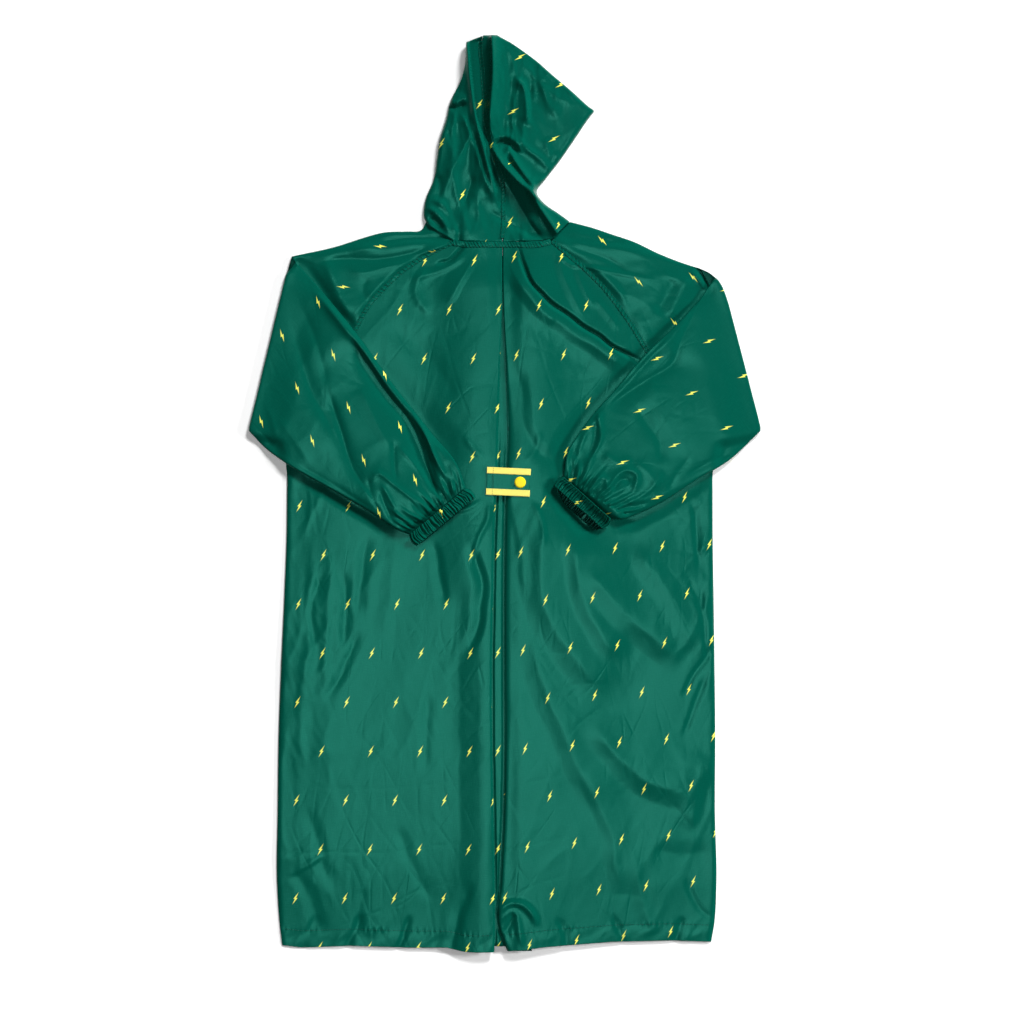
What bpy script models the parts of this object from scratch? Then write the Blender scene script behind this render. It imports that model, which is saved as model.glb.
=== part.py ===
"""Child's hooded rain jacket with raglan sleeves and a back box pleat, laid flat.

It lies face down: the fronts are underneath, the back is on top, both sleeves are
folded over at the shoulder and lie across the back, and the hood is spread above the
neck. Seen from above, +Y runs up the back to the hood and +X to the wearer's right.
Tables and sizes are in millimetres; MM turns them into Blender's metres.
Every cloth piece is one surface along the middle of its cloth, given its wall by a
Solidify modifier. Stacked layers are PITCH apart, so each is clear of the next by GAP.
"""

import math
from collections import namedtuple

import bmesh
import bpy
import numpy as np
from mathutils import Matrix, Vector

MM = 0.001
WALL = 1.0  # cloth
CUFF_WALL = 2.0  # gathered cloth over elastic
GAP = 0.35  # between pieces at a seam, and between layers
PITCH = WALL + GAP
SEAM_STEP = 0.32  # on X and on Y, which is more than GAP across a raglan seam

# Heights of the middle of each layer above the surface that the jacket lies on.
FLOOR_LAYER = WALL / 2
CAP_HEIGHT = 1.0  # front snap caps, on the surface under the placket
PLACKET_LAYER = CAP_HEIGHT + GAP + WALL / 2
UNDERLAP_LAYER = PLACKET_LAYER + PITCH
PLEAT_LAYER = UNDERLAP_LAYER + PITCH
RETURN_LAYER = PLEAT_LAYER + PITCH
CENTRE_LAYER = RETURN_LAYER + PITCH  # back panels beside the pleat
SIDE_SPARE = 0.1  # extra room between the back and the fronts
SIDE_LAYER = FLOOR_LAYER + PITCH + SIDE_SPARE  # back panels out at the sides
# The back's height at these distances from the centre: past the pleat's returns it
# comes down one layer, and past the pleat underlay it comes down to the fronts.
STACK_X = (30.0, 38.0, 84.0)
STACK_Z = (CENTRE_LAYER, CENTRE_LAYER - PITCH, SIDE_LAYER)
# Above the placket the whole stack comes down by this much, between these heights.
NECK_DROP = 2.6
NECK_LOW, NECK_HIGH = 224.0, 262.0

FRONT_HEM = -499.5
PLACKET_TOP = 215.0
PLACKET_HALF = 20.0
UNDERLAP_EDGE = -14.0
PLACKET_RISE = 32.0  # the width over which a front panel climbs to the placket
PLEAT_HALF = 36.0  # half the pleat underlay
PLEAT_RETURN = 26.0  # cloth turned under at each pleat fold
UNDERLAY_HEM = -499.0
RIDGE_X = 14.0  # a column of the back's cloth on the ridges beside the pleat
# Where a back panel is too narrow for columns at the stack's steps, it has these,
# as shares of its width from the side.
NARROW_FROM = 0.36
NARROW_BACK = (0.5, 0.62, 0.74, 0.84, 0.92)
# The same for a front panel, as shares of its width from the placket.
FRONT_FOOT_SPARE = 3.0  # from the placket's edge to where the front starts to climb
FRONT_SHARE_STEP = 0.1
FRONT_MOST_SHARE = 0.8
NARROW_FRONT = (0.2, 0.4, 0.6)

SLEEVE_HALF = PITCH / 2  # from a flattened sleeve's middle plane to either layer
SLEEVE_CLEAR = 0.6  # between a folded sleeve and the back under it
FOLD_RADIUS = 1.6  # of the middle plane, where a sleeve turns over
FOLD_STEPS = 6
CUFF_LENGTH = 14.0
CUFF_HOLLOW = 1.0
CUFF_GAP = 0.6  # from the sleeve's end, which the gathers tilt
CUFF_COLUMNS = 10

TAB_SIZE = (47.6, 30.6)
TAB_CENTRE = (4.6, 12.9)
TAB_TURN = math.radians(-2.6)
TAB_BEVEL = 0.2
TAPE_WIDTH = 7.0
SNAP_RADIUS = 6.2
SNAP_HEIGHT = 2.4
SNAP_OFFSET = 12.9  # from the tab's centre, along the tab
SNAP_SIDES = 20
FRONT_SNAP_TOP, FRONT_SNAP_PITCH, FRONT_SNAPS = 190.0, 140.0, 5

HOOD_CROWN = 0.7  # the hood's middle above its silhouette

Fold = namedtuple("Fold", "x0 y0 x1 y1 bow width height")
Panel = namedtuple("Panel", "inner_x inner_y side_x side_y")
Along = namedtuple("Along", "seam_x seam_y fold_x fold_y")
Across = namedtuple("Across", "over_x over_y under_x under_y puff")
Hood = namedtuple("Hood", "seam_x seam_y mid_x mid_y edge_x edge_y under_x under_y rise")

# The largest folds of the back, as ridges: the ends, how far the middle bows to the
# left of that line, the width from crest to foot, and the height.
BACK_FOLDS = (
    Fold(26, 262, 74, 206, 5, 13, 0.9),
    Fold(74, 206, 134, 171, 4, 15, 2.2),
    Fold(-24, -110, -21, -500, 0, 15, 2.6),
    Fold(13, -120, 11, -500, 0, 14, 2.2),
    Fold(-66, 262, -150, 196, 4, 16, 1.6),
    Fold(84, -78, 130, -260, -22, 22, 2.0),
    Fold(186, -96, 214, -250, 8, 18, 1.8),
    Fold(-205, -60, -222, -330, -8, 20, 1.6),
    Fold(-120, -330, -92, -470, 0, 20, 1.4),
)
# The largest folds of the hood, seen from above in the same way.
HOOD_FOLDS = (
    Fold(-17, 500, -18, 360, 0, 9, 2.0),
    Fold(-40, 478, -12, 330, 10, 9, 1.8),
    Fold(-14, 372, 32, 300, 3, 8, 2.0),
    Fold(4, 372, 46, 330, -3, 7, 1.5),
    Fold(8, 480, 30, 400, -6, 16, 1.5),
    Fold(-60, 400, -46, 318, -6, 18, 1.2),
)

# Back left, from the neck down. Inner is the pleat fold, side is the raglan seam
# as far as the underarm and then the side seam.
BACK_LEFT = tuple(
    Panel(*row)
    for row in (
        (-2.4, 276, -57.2, 276.5),
        (-2.4, 262, -86, 262),
        (-2.4, 245, -112.5, 244.5),
        (-2.4, 224, -134.5, 224),
        (-2.6, 206, -150, 206),
        (-3.6, 182, -163, 182),
        (-4.8, 156, -177, 156),
        (-5.5, 122, -197, 120),
        (-6.4, 86, -221, 85),
        (-7.0, 60, -239, 60),
        (-8.0, 13, -239.3, 15),
        (-10.0, -50, -240, -50),
        (-11.0, -115, -242.5, -115),
        (-12.4, -190, -246, -190),
        (-12.4, -270, -248.8, -270),
        (-11.4, -350, -249.8, -350),
        (-10.4, -425, -250.6, -425),
        (-10.6, -478, -247.6, -474),
        (-11.2, -504.5, -244.8, -497.5),
    )
)
BACK_RIGHT = tuple(
    Panel(*row)
    for row in (
        (-2.05, 276, 52, 278.5),
        (-2.05, 262, 72.5, 261),
        (-2.05, 244, 92, 244),
        (-1.9, 226, 109.5, 226.5),
        (-1.4, 208, 124, 208),
        (-0.6, 186, 139.5, 186),
        (1.0, 157, 157.5, 156.5),
        (2.2, 122, 182, 120),
        (3.2, 86, 208, 85),
        (3.4, 60, 228.5, 58),
        (2.6, 13, 229, 15),
        (3.3, -50, 229.2, -50),
        (3.8, -115, 230.2, -115),
        (3.4, -190, 231.2, -190),
        (1.6, -270, 232, -270),
        (-0.4, -350, 231.6, -350),
        (-4.6, -425, 233.4, -425),
        (-6.6, -478, 231, -474),
        (3.0, -503.5, 227.6, -493.6),
    )
)
# The fronts have a lower neck, from the raglan seam to the placket. The hood's
# cloth underneath runs down to the same line.
FRONT_LEFT_NECK = ((-56.3, 274.2), (-46, 241), (-34, 228), (-20.35, 221))
FRONT_RIGHT_NECK = ((51.0, 275.6), (42, 241), (30, 228), (12, 221))

# Each sleeve from the neck to the underarm: the raglan seam, which starts with the
# edge that meets the hood, and the silhouette where the sleeve turns over.
LEFT_ALONG = tuple(
    Along(*row)
    for row in (
        (-86, 298, -236.5, 261),
        (-57.2, 276.5, -241, 243),
        (-86, 262, -245.5, 224),
        (-112.5, 244.5, -250.5, 203.5),
        (-134.5, 224, -255.5, 182.5),
        (-150, 206, -260.5, 161.5),
        (-163, 182, -265.5, 141),
        (-177, 156, -270, 122),
        (-197, 120, -274.5, 103),
        (-221, 85, -279, 85),
        (-239, 60, -282.8, 69),
    )
)
RIGHT_ALONG = tuple(
    Along(*row)
    for row in (
        (75, 298.5, 217, 247.5),
        (52, 278.5, 231, 240.5),
        (72.5, 261, 239.5, 229.5),
        (92, 244, 246, 213),
        (109.5, 226.5, 251.5, 193),
        (124, 208, 257, 172),
        (139.5, 186, 262.5, 151),
        (157.5, 156.5, 268, 130),
        (182, 120, 273.5, 108.5),
        (208, 85, 279, 87.5),
        (228.5, 58, 283.4, 69.5),
    )
)
# The folded-over sleeve, from the turn to the cuff: its two edges and how far its
# top layer stands off its lower one beyond the usual gap.
LEFT_ACROSS = tuple(
    Across(*row)
    for row in (
        (-228, 252, -272, 62, 0.2),
        (-199, 220, -257.5, 46, 1.0),
        (-165, 178.5, -237.5, 31.5, 1.6),
        (-119.6, 116, -186, 2, 2.0),
        (-80, 66, -146, -21.5, 2.4),
        (-50, 27, -117, -40, 2.4),
        (-42.8, 5.6, -104.2, -45.2, 1.3),
    )
)
RIGHT_ACROSS = tuple(
    Across(*row)
    for row in (
        (227, 227, 272, 60, 0.2),
        (192, 188, 245.3, 35, 1.2),
        (158.6, 156.5, 214, 17, 1.8),
        (123, 115.5, 174, -9, 2.2),
        (88, 74, 140, -25, 2.4),
        (68.5, 42, 127, -28.5, 2.4),
        (65, 18.5, 116.6, -27.5, 1.3),
    )
)
# The hood, from the neck up. Both halves share the centre seam. Under is the face
# edge, where the cloth that turns under at the silhouette ends. Rise is the height
# of the silhouette's turn above the surface layer.
HOOD_LEFT = tuple(
    Hood(*row)
    for row in (
        (-2.9, 276.4, -57, 277.2, -84.6, 303, -9, 221.6, 1.5),
        (-1.2, 298, -46, 299, -88, 311, -9, 240, 1.9),
        (-1.2, 318, -44, 320, -86.5, 326, -11, 272, 1.9),
        (-1.2, 338, -41, 341, -78.2, 345, -15, 305, 1.9),
        (-9.4, 366, -43, 367, -74.5, 369, -24, 346, 1.9),
        (-16, 390, -45, 390, -71.2, 391, -33, 380, 1.9),
        (-21.6, 412, -44, 411, -64.4, 412, -39, 404, 1.9),
        (-21.9, 434, -42, 433, -59, 433, -41, 428, 1.9),
        (-23.8, 455, -37, 454, -48, 454, -38, 451, 1.9),
        (-24.8, 473, -35, 472, -43.2, 473, -37, 470, 1.9),
        (-26.5, 491, -35, 491, -42, 493, -37, 488, 1.9),
        (-24, 503.6, -29, 502.5, -33, 500.5, -31, 498, 1.9),
    )
)
HOOD_RIGHT = tuple(
    Hood(*row)
    for row in (
        (-2.3, 276.4, 51.2, 279.3, 71.6, 299.3, 8, 221.6, 1.5),
        (-0.6, 298, 30, 303, 60.5, 307.5, 12, 240, 1.9),
        (-0.6, 318, 22, 318, 43.5, 319.5, 15, 272, 1.9),
        (-0.6, 338, 18, 334, 35.4, 331.5, 17, 305, 1.9),
        (-8.8, 366, 18, 356, 46, 347.5, 34, 338, 1.9),
        (-15.4, 390, 20, 378, 61, 367, 49, 358, 1.9),
        (-21, 412, 24, 402, 79, 393, 66, 385, 1.9),
        (-21.3, 434, 32, 424, 97.6, 420.6, 78, 404, 1.9),
        (-23.2, 455, 24, 450, 73.7, 443, 50, 414, 1.9),
        (-24.2, 473, 14, 468, 52.8, 460.6, 30, 430, 1.9),
        (-25.9, 491, 4, 488, 33, 477.8, 10, 450, 1.9),
        (-23.4, 504.6, -8, 504.6, 6, 496.4, -8, 502, 1.9),
    )
)


def clear_scene():
    for obj in list(bpy.data.objects):
        bpy.data.objects.remove(obj)


def material(name, colour, roughness, metallic=0.0):
    made = bpy.data.materials.new(name)
    made.use_nodes = True
    shader = made.node_tree.nodes["Principled BSDF"]
    shader.inputs["Base Color"].default_value = (*colour, 1.0)
    shader.inputs["Roughness"].default_value = roughness
    shader.inputs["Metallic"].default_value = metallic
    made.diffuse_color = (*colour, 1.0)
    return made


def smooth_step(value):
    value = min(1.0, max(0.0, value))
    return value * value * (3 - 2 * value)


def mix(a, b, share):
    return a + (b - a) * share


def fold_height(folds, x, y):
    """The height that these folds add at a point: the highest of their rounded ridges."""
    best = 0.0
    for fold in folds:
        run = Vector((fold.x1 - fold.x0, fold.y1 - fold.y0))
        from_start = Vector((x - fold.x0, y - fold.y0))
        share = from_start.dot(run) / run.length_squared
        if not -0.15 < share < 1.15:
            continue
        bow = fold.bow * 4 * share * (1 - share)
        aside = (run.x * from_start.y - run.y * from_start.x) / run.length - bow
        taper = smooth_step((share + 0.15) / 0.3) * smooth_step((1.15 - share) / 0.3)
        best = max(best, fold.height * taper * smooth_step(1 - abs(aside) / fold.width))
    return best


def neck_drop(y):
    """How far the layers over the placket have come down at this height."""
    share = (y - NECK_LOW) / (NECK_HIGH - NECK_LOW)
    return NECK_DROP * min(1.0, max(0.0, share))


def back_height(x, y):
    """The middle of the back's cloth: high over the pleat, low at the sides, and its folds."""
    over_side = float(np.interp(abs(x), STACK_X, STACK_Z)) - SIDE_LAYER
    kept = 1 - neck_drop(y) / (CENTRE_LAYER - SIDE_LAYER)
    return SIDE_LAYER + over_side * kept + fold_height(BACK_FOLDS, x, y)


def cloth(name, rows, skin, wall=WALL, ring=False):
    """A cloth piece from rows of points in millimetres along the middle of its wall."""
    mesh = bpy.data.meshes.new(name)
    work = bmesh.new()
    grid = [[work.verts.new(Vector(point) * MM) for point in row] for row in rows]
    columns = len(rows[0])
    for lower, upper in zip(grid, grid[1:]):
        for i in range(columns if ring else columns - 1):
            j = (i + 1) % columns
            work.faces.new((lower[i], lower[j], upper[j], upper[i]))
    bmesh.ops.recalc_face_normals(work, faces=work.faces)
    work.to_mesh(mesh)
    work.free()
    mesh.materials.append(skin)
    mesh.shade_smooth()
    obj = bpy.data.objects.new(name, mesh)
    bpy.context.scene.collection.objects.link(obj)
    thickness = obj.modifiers.new("wall", "SOLIDIFY")
    thickness.thickness = wall * MM
    thickness.offset = 0.0
    return obj


def turn_under(outer, direction, top, bottom, steps):
    """Points of a U-turn in the cloth: from above, round the outermost point, to below."""
    radius = (top - bottom) / 2
    points = []
    for k in range(steps + 1):
        angle = math.pi * k / steps
        reach = radius * math.sin(angle) - radius - WALL / 2
        x = outer[0] + direction[0] * reach
        y = outer[1] + direction[1] * reach
        points.append((x, y, mix(top, bottom, (1 - math.cos(angle)) / 2)))
    return points


def back_panel(name, rows, outward, skin):
    """A back panel from its side edge to the pleat fold, and its return under itself."""
    direction = (-outward, 0)
    made = []
    for row in rows:
        fold_x = row.inner_x + outward * (PITCH / 2 + WALL / 2)
        width = abs(row.side_x - fold_x)
        # Columns where the stack's height turns, or even ones where the panel is narrow.
        half_down = (STACK_X[1] + STACK_X[2]) / 2
        turns = (STACK_X[2], half_down, STACK_X[1], STACK_X[0], RIDGE_X)
        wide = [1 - (turn - abs(fold_x)) / width for turn in turns]
        if wide[0] < NARROW_FROM:
            wide = NARROW_BACK
        spare = wide[0] / 3
        points = []
        for share in (0, spare, 2 * spare, *wide):
            x = mix(row.side_x, fold_x, share)
            y = mix(row.side_y, row.inner_y, share)
            points.append((x, y, back_height(x, y)))
        top = back_height(fold_x, row.inner_y)
        under = RETURN_LAYER - neck_drop(row.inner_y)
        points += turn_under((row.inner_x, row.inner_y), direction, top, under, 4)
        for reach in (PLEAT_RETURN / 2, PLEAT_RETURN):
            points.append((fold_x + outward * reach, row.inner_y, under))
        made.append(points)
    return cloth(name, made, skin)


def pleat_underlay(skin):
    """The cloth under the two pleat folds, a little shorter than they are at the neck."""
    rows = []
    for left, right in zip(BACK_LEFT, BACK_RIGHT):
        y = max((left.inner_y + right.inner_y) / 2, UNDERLAY_HEM)
        z = PLEAT_LAYER - neck_drop(y)
        rows.append([(x, y, z) for x in (-PLEAT_HALF, -6, 6, PLEAT_HALF)])
    return cloth("back_pleat", rows[1:], skin)


def front_panel(name, neck, back_rows, edge_x, edge_layer, outward, skin):
    """A front panel: neckline and placket edge inside, the back's side line outside."""
    inner = list(neck)
    for row in back_rows[len(neck) :]:
        inner.append((edge_x, min(row.inner_y, inner[-1][1] - 12)))
    inner[-1] = (edge_x, FRONT_HEM)
    rows = []
    for (inner_x, inner_y), row in zip(inner, back_rows):
        if row is back_rows[0]:
            # The corner at the raglan seam, just inside its line.
            side = (inner_x + outward * 2.9, inner_y - outward * 0.7 - 0.7)
        else:
            side = (row.side_x, row.side_y)
        width = abs(side[0] - inner_x)
        foot = PLACKET_HALF + FRONT_FOOT_SPARE
        turns = (foot, foot + PLACKET_RISE / 2, foot + PLACKET_RISE)
        start = outward * inner_x
        shares = [
            max(FRONT_SHARE_STEP * k, (turn - start) / width) for k, turn in enumerate(turns, 1)
        ]
        if shares[-1] > FRONT_MOST_SHARE:
            shares = NARROW_FRONT
        rest = (1 - shares[-1]) / 2
        points = []
        for share in (0, *shares, shares[-1] + rest, 1):
            x = mix(inner_x, side[0], share)
            y = mix(inner_y, side[1], share)
            climb = min(1.0, max(0.0, 1 - (abs(x) - foot) / PLACKET_RISE))
            points.append((x, y, mix(FLOOR_LAYER, edge_layer, climb)))
        rows.append(points)
    return cloth(name, rows, skin)


def placket(skin):
    rows = [
        [(x, y, PLACKET_LAYER) for x in (-PLACKET_HALF, 0, PLACKET_HALF)]
        for y in np.linspace(PLACKET_TOP, FRONT_HEM, 8)
    ]
    return cloth("front_placket", rows, skin)


def ring_of(back, front):
    """A closed section of a flattened sleeve or cuff, from the middles of its two layers.

    Both run from the overarm edge to the underarm edge. Half-way between them, and half
    their distance further out, a point at each end closes the ring.
    """
    def beyond(at, before):
        step = back[at] - back[before]
        step.z = 0
        middle = (back[at] + front[at]) / 2
        return middle + step.normalized() * (back[at] - front[at]).length / 2

    return [*back, beyond(-1, -2), *reversed(front), beyond(0, 1)]


def outward_from_turn(along, outward):
    """The level direction out of the jacket, square to the line where the sleeve turns."""
    run = Vector((along[-1].fold_x - along[0].fold_x, along[-1].fold_y - along[0].fold_y))
    return Vector((-outward * run.y, outward * run.x, 0)).normalized()


def shoulder_rings(along, turn, outward):
    """From the raglan seam to the turn, with the lower layer on the surface."""
    rings = []
    for share in (0, 0.25, 0.6):
        back, front = [], []
        for row, end in zip(along, turn):
            start = Vector((row.seam_x + outward * SEAM_STEP, row.seam_y + SEAM_STEP, 0))
            at = start.lerp(end, share)
            high = back_height(row.seam_x, row.seam_y)
            if row is along[0]:
                high = FLOOR_LAYER + PITCH
            top = mix(high, FLOOR_LAYER + PITCH, smooth_step(share * 1.2))
            back.append(Vector((at.x, at.y, top)))
            front.append(Vector((at.x, at.y, FLOOR_LAYER)))
        rings.append(ring_of(back, front))
    return rings


def turn_rings(turn, out):
    """The turn itself: the sleeve's back goes inside it and the sleeve's front outside."""
    rings = []
    for k in range(FOLD_STEPS + 1):
        angle = math.pi * k / FOLD_STEPS
        shift = out * (FOLD_RADIUS * math.sin(angle))
        shift.z = FOLD_RADIUS * (1 - math.cos(angle))
        up = Vector((0, 0, math.cos(angle))) - out * math.sin(angle)
        middle = [at + shift for at in turn]
        back = [at + up * SLEEVE_HALF for at in middle]
        front = [at - up * SLEEVE_HALF for at in middle]
        rings.append(ring_of(back, front))
    return rings


def lying_ring(over, under, wall, hollow, puff, count):
    """A section that lies on the back, between its overarm and underarm edges."""
    edge = (under - over).normalized() * (wall + hollow / 2)
    lower, upper = [], []
    for i in range(count):
        share = i / (count - 1)
        at = (over + edge).lerp(under - edge, share)
        at.z = back_height(at.x, at.y) + (WALL + wall) / 2 + SLEEVE_CLEAR
        lower.append(at)
        swell = puff * (4 * share * (1 - share)) ** 0.6
        upper.append(at + Vector((0, 0, wall + hollow + swell)))
    return ring_of(lower, upper)


def sleeve(name, along, across, outward, skin):
    """A sleeve from its raglan seam, over its turn at the shoulder, to its cuff."""
    out = outward_from_turn(along, outward)
    inset = out * (FOLD_RADIUS + SLEEVE_HALF + WALL / 2)
    low = FLOOR_LAYER + SLEEVE_HALF
    turn = [Vector((row.fold_x, row.fold_y, low)) - inset for row in along]
    rings = shoulder_rings(along, turn, outward) + turn_rings(turn, out)
    for section in across:
        over = Vector((section.over_x, section.over_y, 0))
        under = Vector((section.under_x, section.under_y, 0))
        rings.append(lying_ring(over, under, WALL, GAP, section.puff, len(along)))
    return cloth(name, rings, skin, ring=True)


def cuff(name, across, skin):
    """The elasticated cuff: a flat ring beyond the sleeve's last section."""
    end, before = across[-1], across[-2]
    over = Vector((end.over_x, end.over_y, 0))
    under = Vector((end.under_x, end.under_y, 0))
    edge = (under - over).normalized()
    beyond = over - Vector((before.over_x, before.over_y, 0))
    beyond = (beyond - edge * beyond.dot(edge)).normalized()
    rings = []
    for reach in (CUFF_GAP, CUFF_LENGTH / 2, CUFF_LENGTH):
        step = beyond * reach
        rings.append(
            lying_ring(over + step, under + step, CUFF_WALL, CUFF_HOLLOW, 0, CUFF_COLUMNS)
        )
    return cloth(name, rings, skin, wall=CUFF_WALL, ring=True)


def hood_half(name, rows, front_neck, outward, skin):
    """Half of the hood: from the centre seam out, and turned under at the silhouette."""
    made = []
    corner = (rows[0].mid_x, rows[0].mid_y - 0.2)
    neckline = [corner] + [(x - outward * 0.7, y + 0.6) for x, y in front_neck[1:3]]
    for number, row in enumerate(rows):
        seam, middle = Vector((row.seam_x, row.seam_y)), Vector((row.mid_x, row.mid_y))
        edge = Vector((row.edge_x, row.edge_y))
        away = (edge - middle).normalized()
        top = FLOOR_LAYER + row.rise
        turn = edge - away * (row.rise / 2 + WALL / 2)
        lie = smooth_step(number / 3)
        points = []
        for share in (0, 0.2, 0.4, 0.6, 0.8, 0.9):
            if share < 0.6:
                at = seam.lerp(middle, share / 0.6)
            else:
                at = middle.lerp(turn, (share - 0.6) / 0.4)
            crown = top + HOOD_CROWN * smooth_step((1 - share) * 2)
            crown += fold_height(HOOD_FOLDS, at.x, at.y)
            height = mix(back_height(at.x, NECK_HIGH), crown, lie)
            height = mix(height, top, smooth_step((share - 0.6) / 0.4))
            points.append((at.x, at.y, height))
        points += turn_under(edge, away, top, FLOOR_LAYER, 4)
        start, under = Vector(points[-1][:2]), Vector((row.under_x, row.under_y))
        if number:
            neckline = [start.lerp(under, share) for share in (0.25, 0.5, 0.75)]
        points += [(at[0], at[1], FLOOR_LAYER) for at in (*neckline, under)]
        made.append(points)
    return cloth(name, made, skin)


def slab(name, size, centre, turn, low, high, skin):
    """A thin flat piece with slightly rounded edges, for the tab and its tapes."""
    mesh = bpy.data.meshes.new(name)
    work = bmesh.new()
    bmesh.ops.create_cube(work, size=1.0)
    scale = (size[0] * MM, size[1] * MM, (high - low) * MM)
    bmesh.ops.scale(work, vec=scale, verts=work.verts)
    work.to_mesh(mesh)
    work.free()
    mesh.materials.append(skin)
    obj = bpy.data.objects.new(name, mesh)
    bpy.context.scene.collection.objects.link(obj)
    obj.location = Vector((centre[0], centre[1], (low + high) / 2)) * MM
    obj.rotation_euler = (0, 0, turn)
    edge = obj.modifiers.new("edge", "BEVEL")
    edge.width = TAB_BEVEL * MM
    edge.segments = 1
    return obj


def snap_cap(name, centre, low, height, down, skin):
    """A round cap with a raised rim, turned from its profile."""
    radius = SNAP_RADIUS
    profile = (
        (0.0, 0.0),
        (radius - 0.4, 0.0),
        (radius, 0.25 * height),
        (radius - 0.3, 0.7 * height),
        (radius - 1.4, height),
        (radius - 2.2, 0.86 * height),
        (0.0, 0.86 * height),
    )
    mesh = bpy.data.meshes.new(name)
    work = bmesh.new()
    sign = -1 if down else 1
    verts = [work.verts.new((x * MM, 0, sign * z * MM)) for x, z in profile]
    edges = [work.edges.new(pair) for pair in zip(verts, verts[1:])]
    bmesh.ops.spin(
        work, geom=verts + edges, axis=(0, 0, 1), cent=(0, 0, 0),
        angle=2 * math.pi, steps=SNAP_SIDES, use_merge=True,
    )
    bmesh.ops.remove_doubles(work, verts=work.verts, dist=0.01 * MM)
    bmesh.ops.recalc_face_normals(work, faces=work.faces)
    work.to_mesh(mesh)
    work.free()
    mesh.materials.append(skin)
    mesh.shade_smooth()
    mesh.set_sharp_from_angle(angle=math.radians(40))
    obj = bpy.data.objects.new(name, mesh)
    bpy.context.scene.collection.objects.link(obj)
    obj.location = Vector((centre[0], centre[1], low + (height if down else 0))) * MM
    return obj


def tab_point(along, up):
    turn = Matrix.Rotation(TAB_TURN, 2)
    point = turn @ Vector((along, up))
    return (TAB_CENTRE[0] + point.x, TAB_CENTRE[1] + point.y)


def back_tab(cloth_skin, tape_skin, snap_skin):
    """The tab across the pleat, its two tapes and its snap."""
    low = CENTRE_LAYER + WALL / 2 + GAP
    slab("tab", TAB_SIZE, TAB_CENTRE, TAB_TURN, low, low + WALL, cloth_skin)
    top = low + WALL + GAP
    rail = (TAB_SIZE[1] - TAPE_WIDTH) / 2
    for name, up in (("tab_tape_upper", rail), ("tab_tape_lower", -rail)):
        size = (TAB_SIZE[0], TAPE_WIDTH)
        slab(name, size, tab_point(0, up), TAB_TURN, top, top + WALL, tape_skin)
    snap_cap("tab_snap", tab_point(SNAP_OFFSET, 0), top, SNAP_HEIGHT, False, snap_skin)


def stand_on_origin():
    """Moves everything so that the origin is under the middle of the whole jacket."""
    bpy.context.view_layer.update()
    graph = bpy.context.evaluated_depsgraph_get()
    low, high = Vector((1e9,) * 3), Vector((-1e9,) * 3)
    for obj in bpy.data.objects:
        seen = obj.evaluated_get(graph)
        for corner in seen.bound_box:
            point = seen.matrix_world @ Vector(corner)
            low = Vector(map(min, low, point))
            high = Vector(map(max, high, point))
    shift = Vector(((low.x + high.x) / 2, (low.y + high.y) / 2, low.z))
    for obj in bpy.data.objects:
        obj.location -= shift


def main():
    clear_scene()
    green = material("green_cloth", (0.010, 0.150, 0.098), 0.42)
    yellow_tape = material("yellow_tape", (0.92, 0.76, 0.16), 0.6)
    yellow_snap = material("yellow_snap", (0.93, 0.73, 0.01), 0.25)

    back_panel("back_left", BACK_LEFT, -1, green)
    back_panel("back_right", BACK_RIGHT, 1, green)
    pleat_underlay(green)
    front_panel(
        "front_left", FRONT_LEFT_NECK, BACK_LEFT, -PLACKET_HALF - GAP, PLACKET_LAYER, -1, green
    )
    front_panel(
        "front_right", FRONT_RIGHT_NECK, BACK_RIGHT, UNDERLAP_EDGE, UNDERLAP_LAYER, 1, green
    )
    placket(green)
    sleeve("sleeve_left", LEFT_ALONG, LEFT_ACROSS, -1, green)
    sleeve("sleeve_right", RIGHT_ALONG, RIGHT_ACROSS, 1, green)
    cuff("cuff_left", LEFT_ACROSS, green)
    cuff("cuff_right", RIGHT_ACROSS, green)
    hood_half("hood_left", HOOD_LEFT, FRONT_LEFT_NECK, -1, green)
    hood_half("hood_right", HOOD_RIGHT, FRONT_RIGHT_NECK, 1, green)
    back_tab(green, yellow_tape, yellow_snap)
    for number in range(FRONT_SNAPS):
        y = FRONT_SNAP_TOP - number * FRONT_SNAP_PITCH
        snap_cap(f"front_snap_{number + 1}", (0, y), 0, CAP_HEIGHT, True, yellow_snap)
    stand_on_origin()


main()
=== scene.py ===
"""Looks of a child's hooded rain jacket in thin green nylon, laid flat with its back up.

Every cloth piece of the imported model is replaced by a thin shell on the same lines,
with its folds, gathers, seams and stitches modelled. Seen from above, +Y runs up the
back to the hood and +X to the wearer's right. Tables and sizes are in millimetres, in
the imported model's frame; MM turns them into Blender's metres.
"""

import math
from collections import namedtuple

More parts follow.
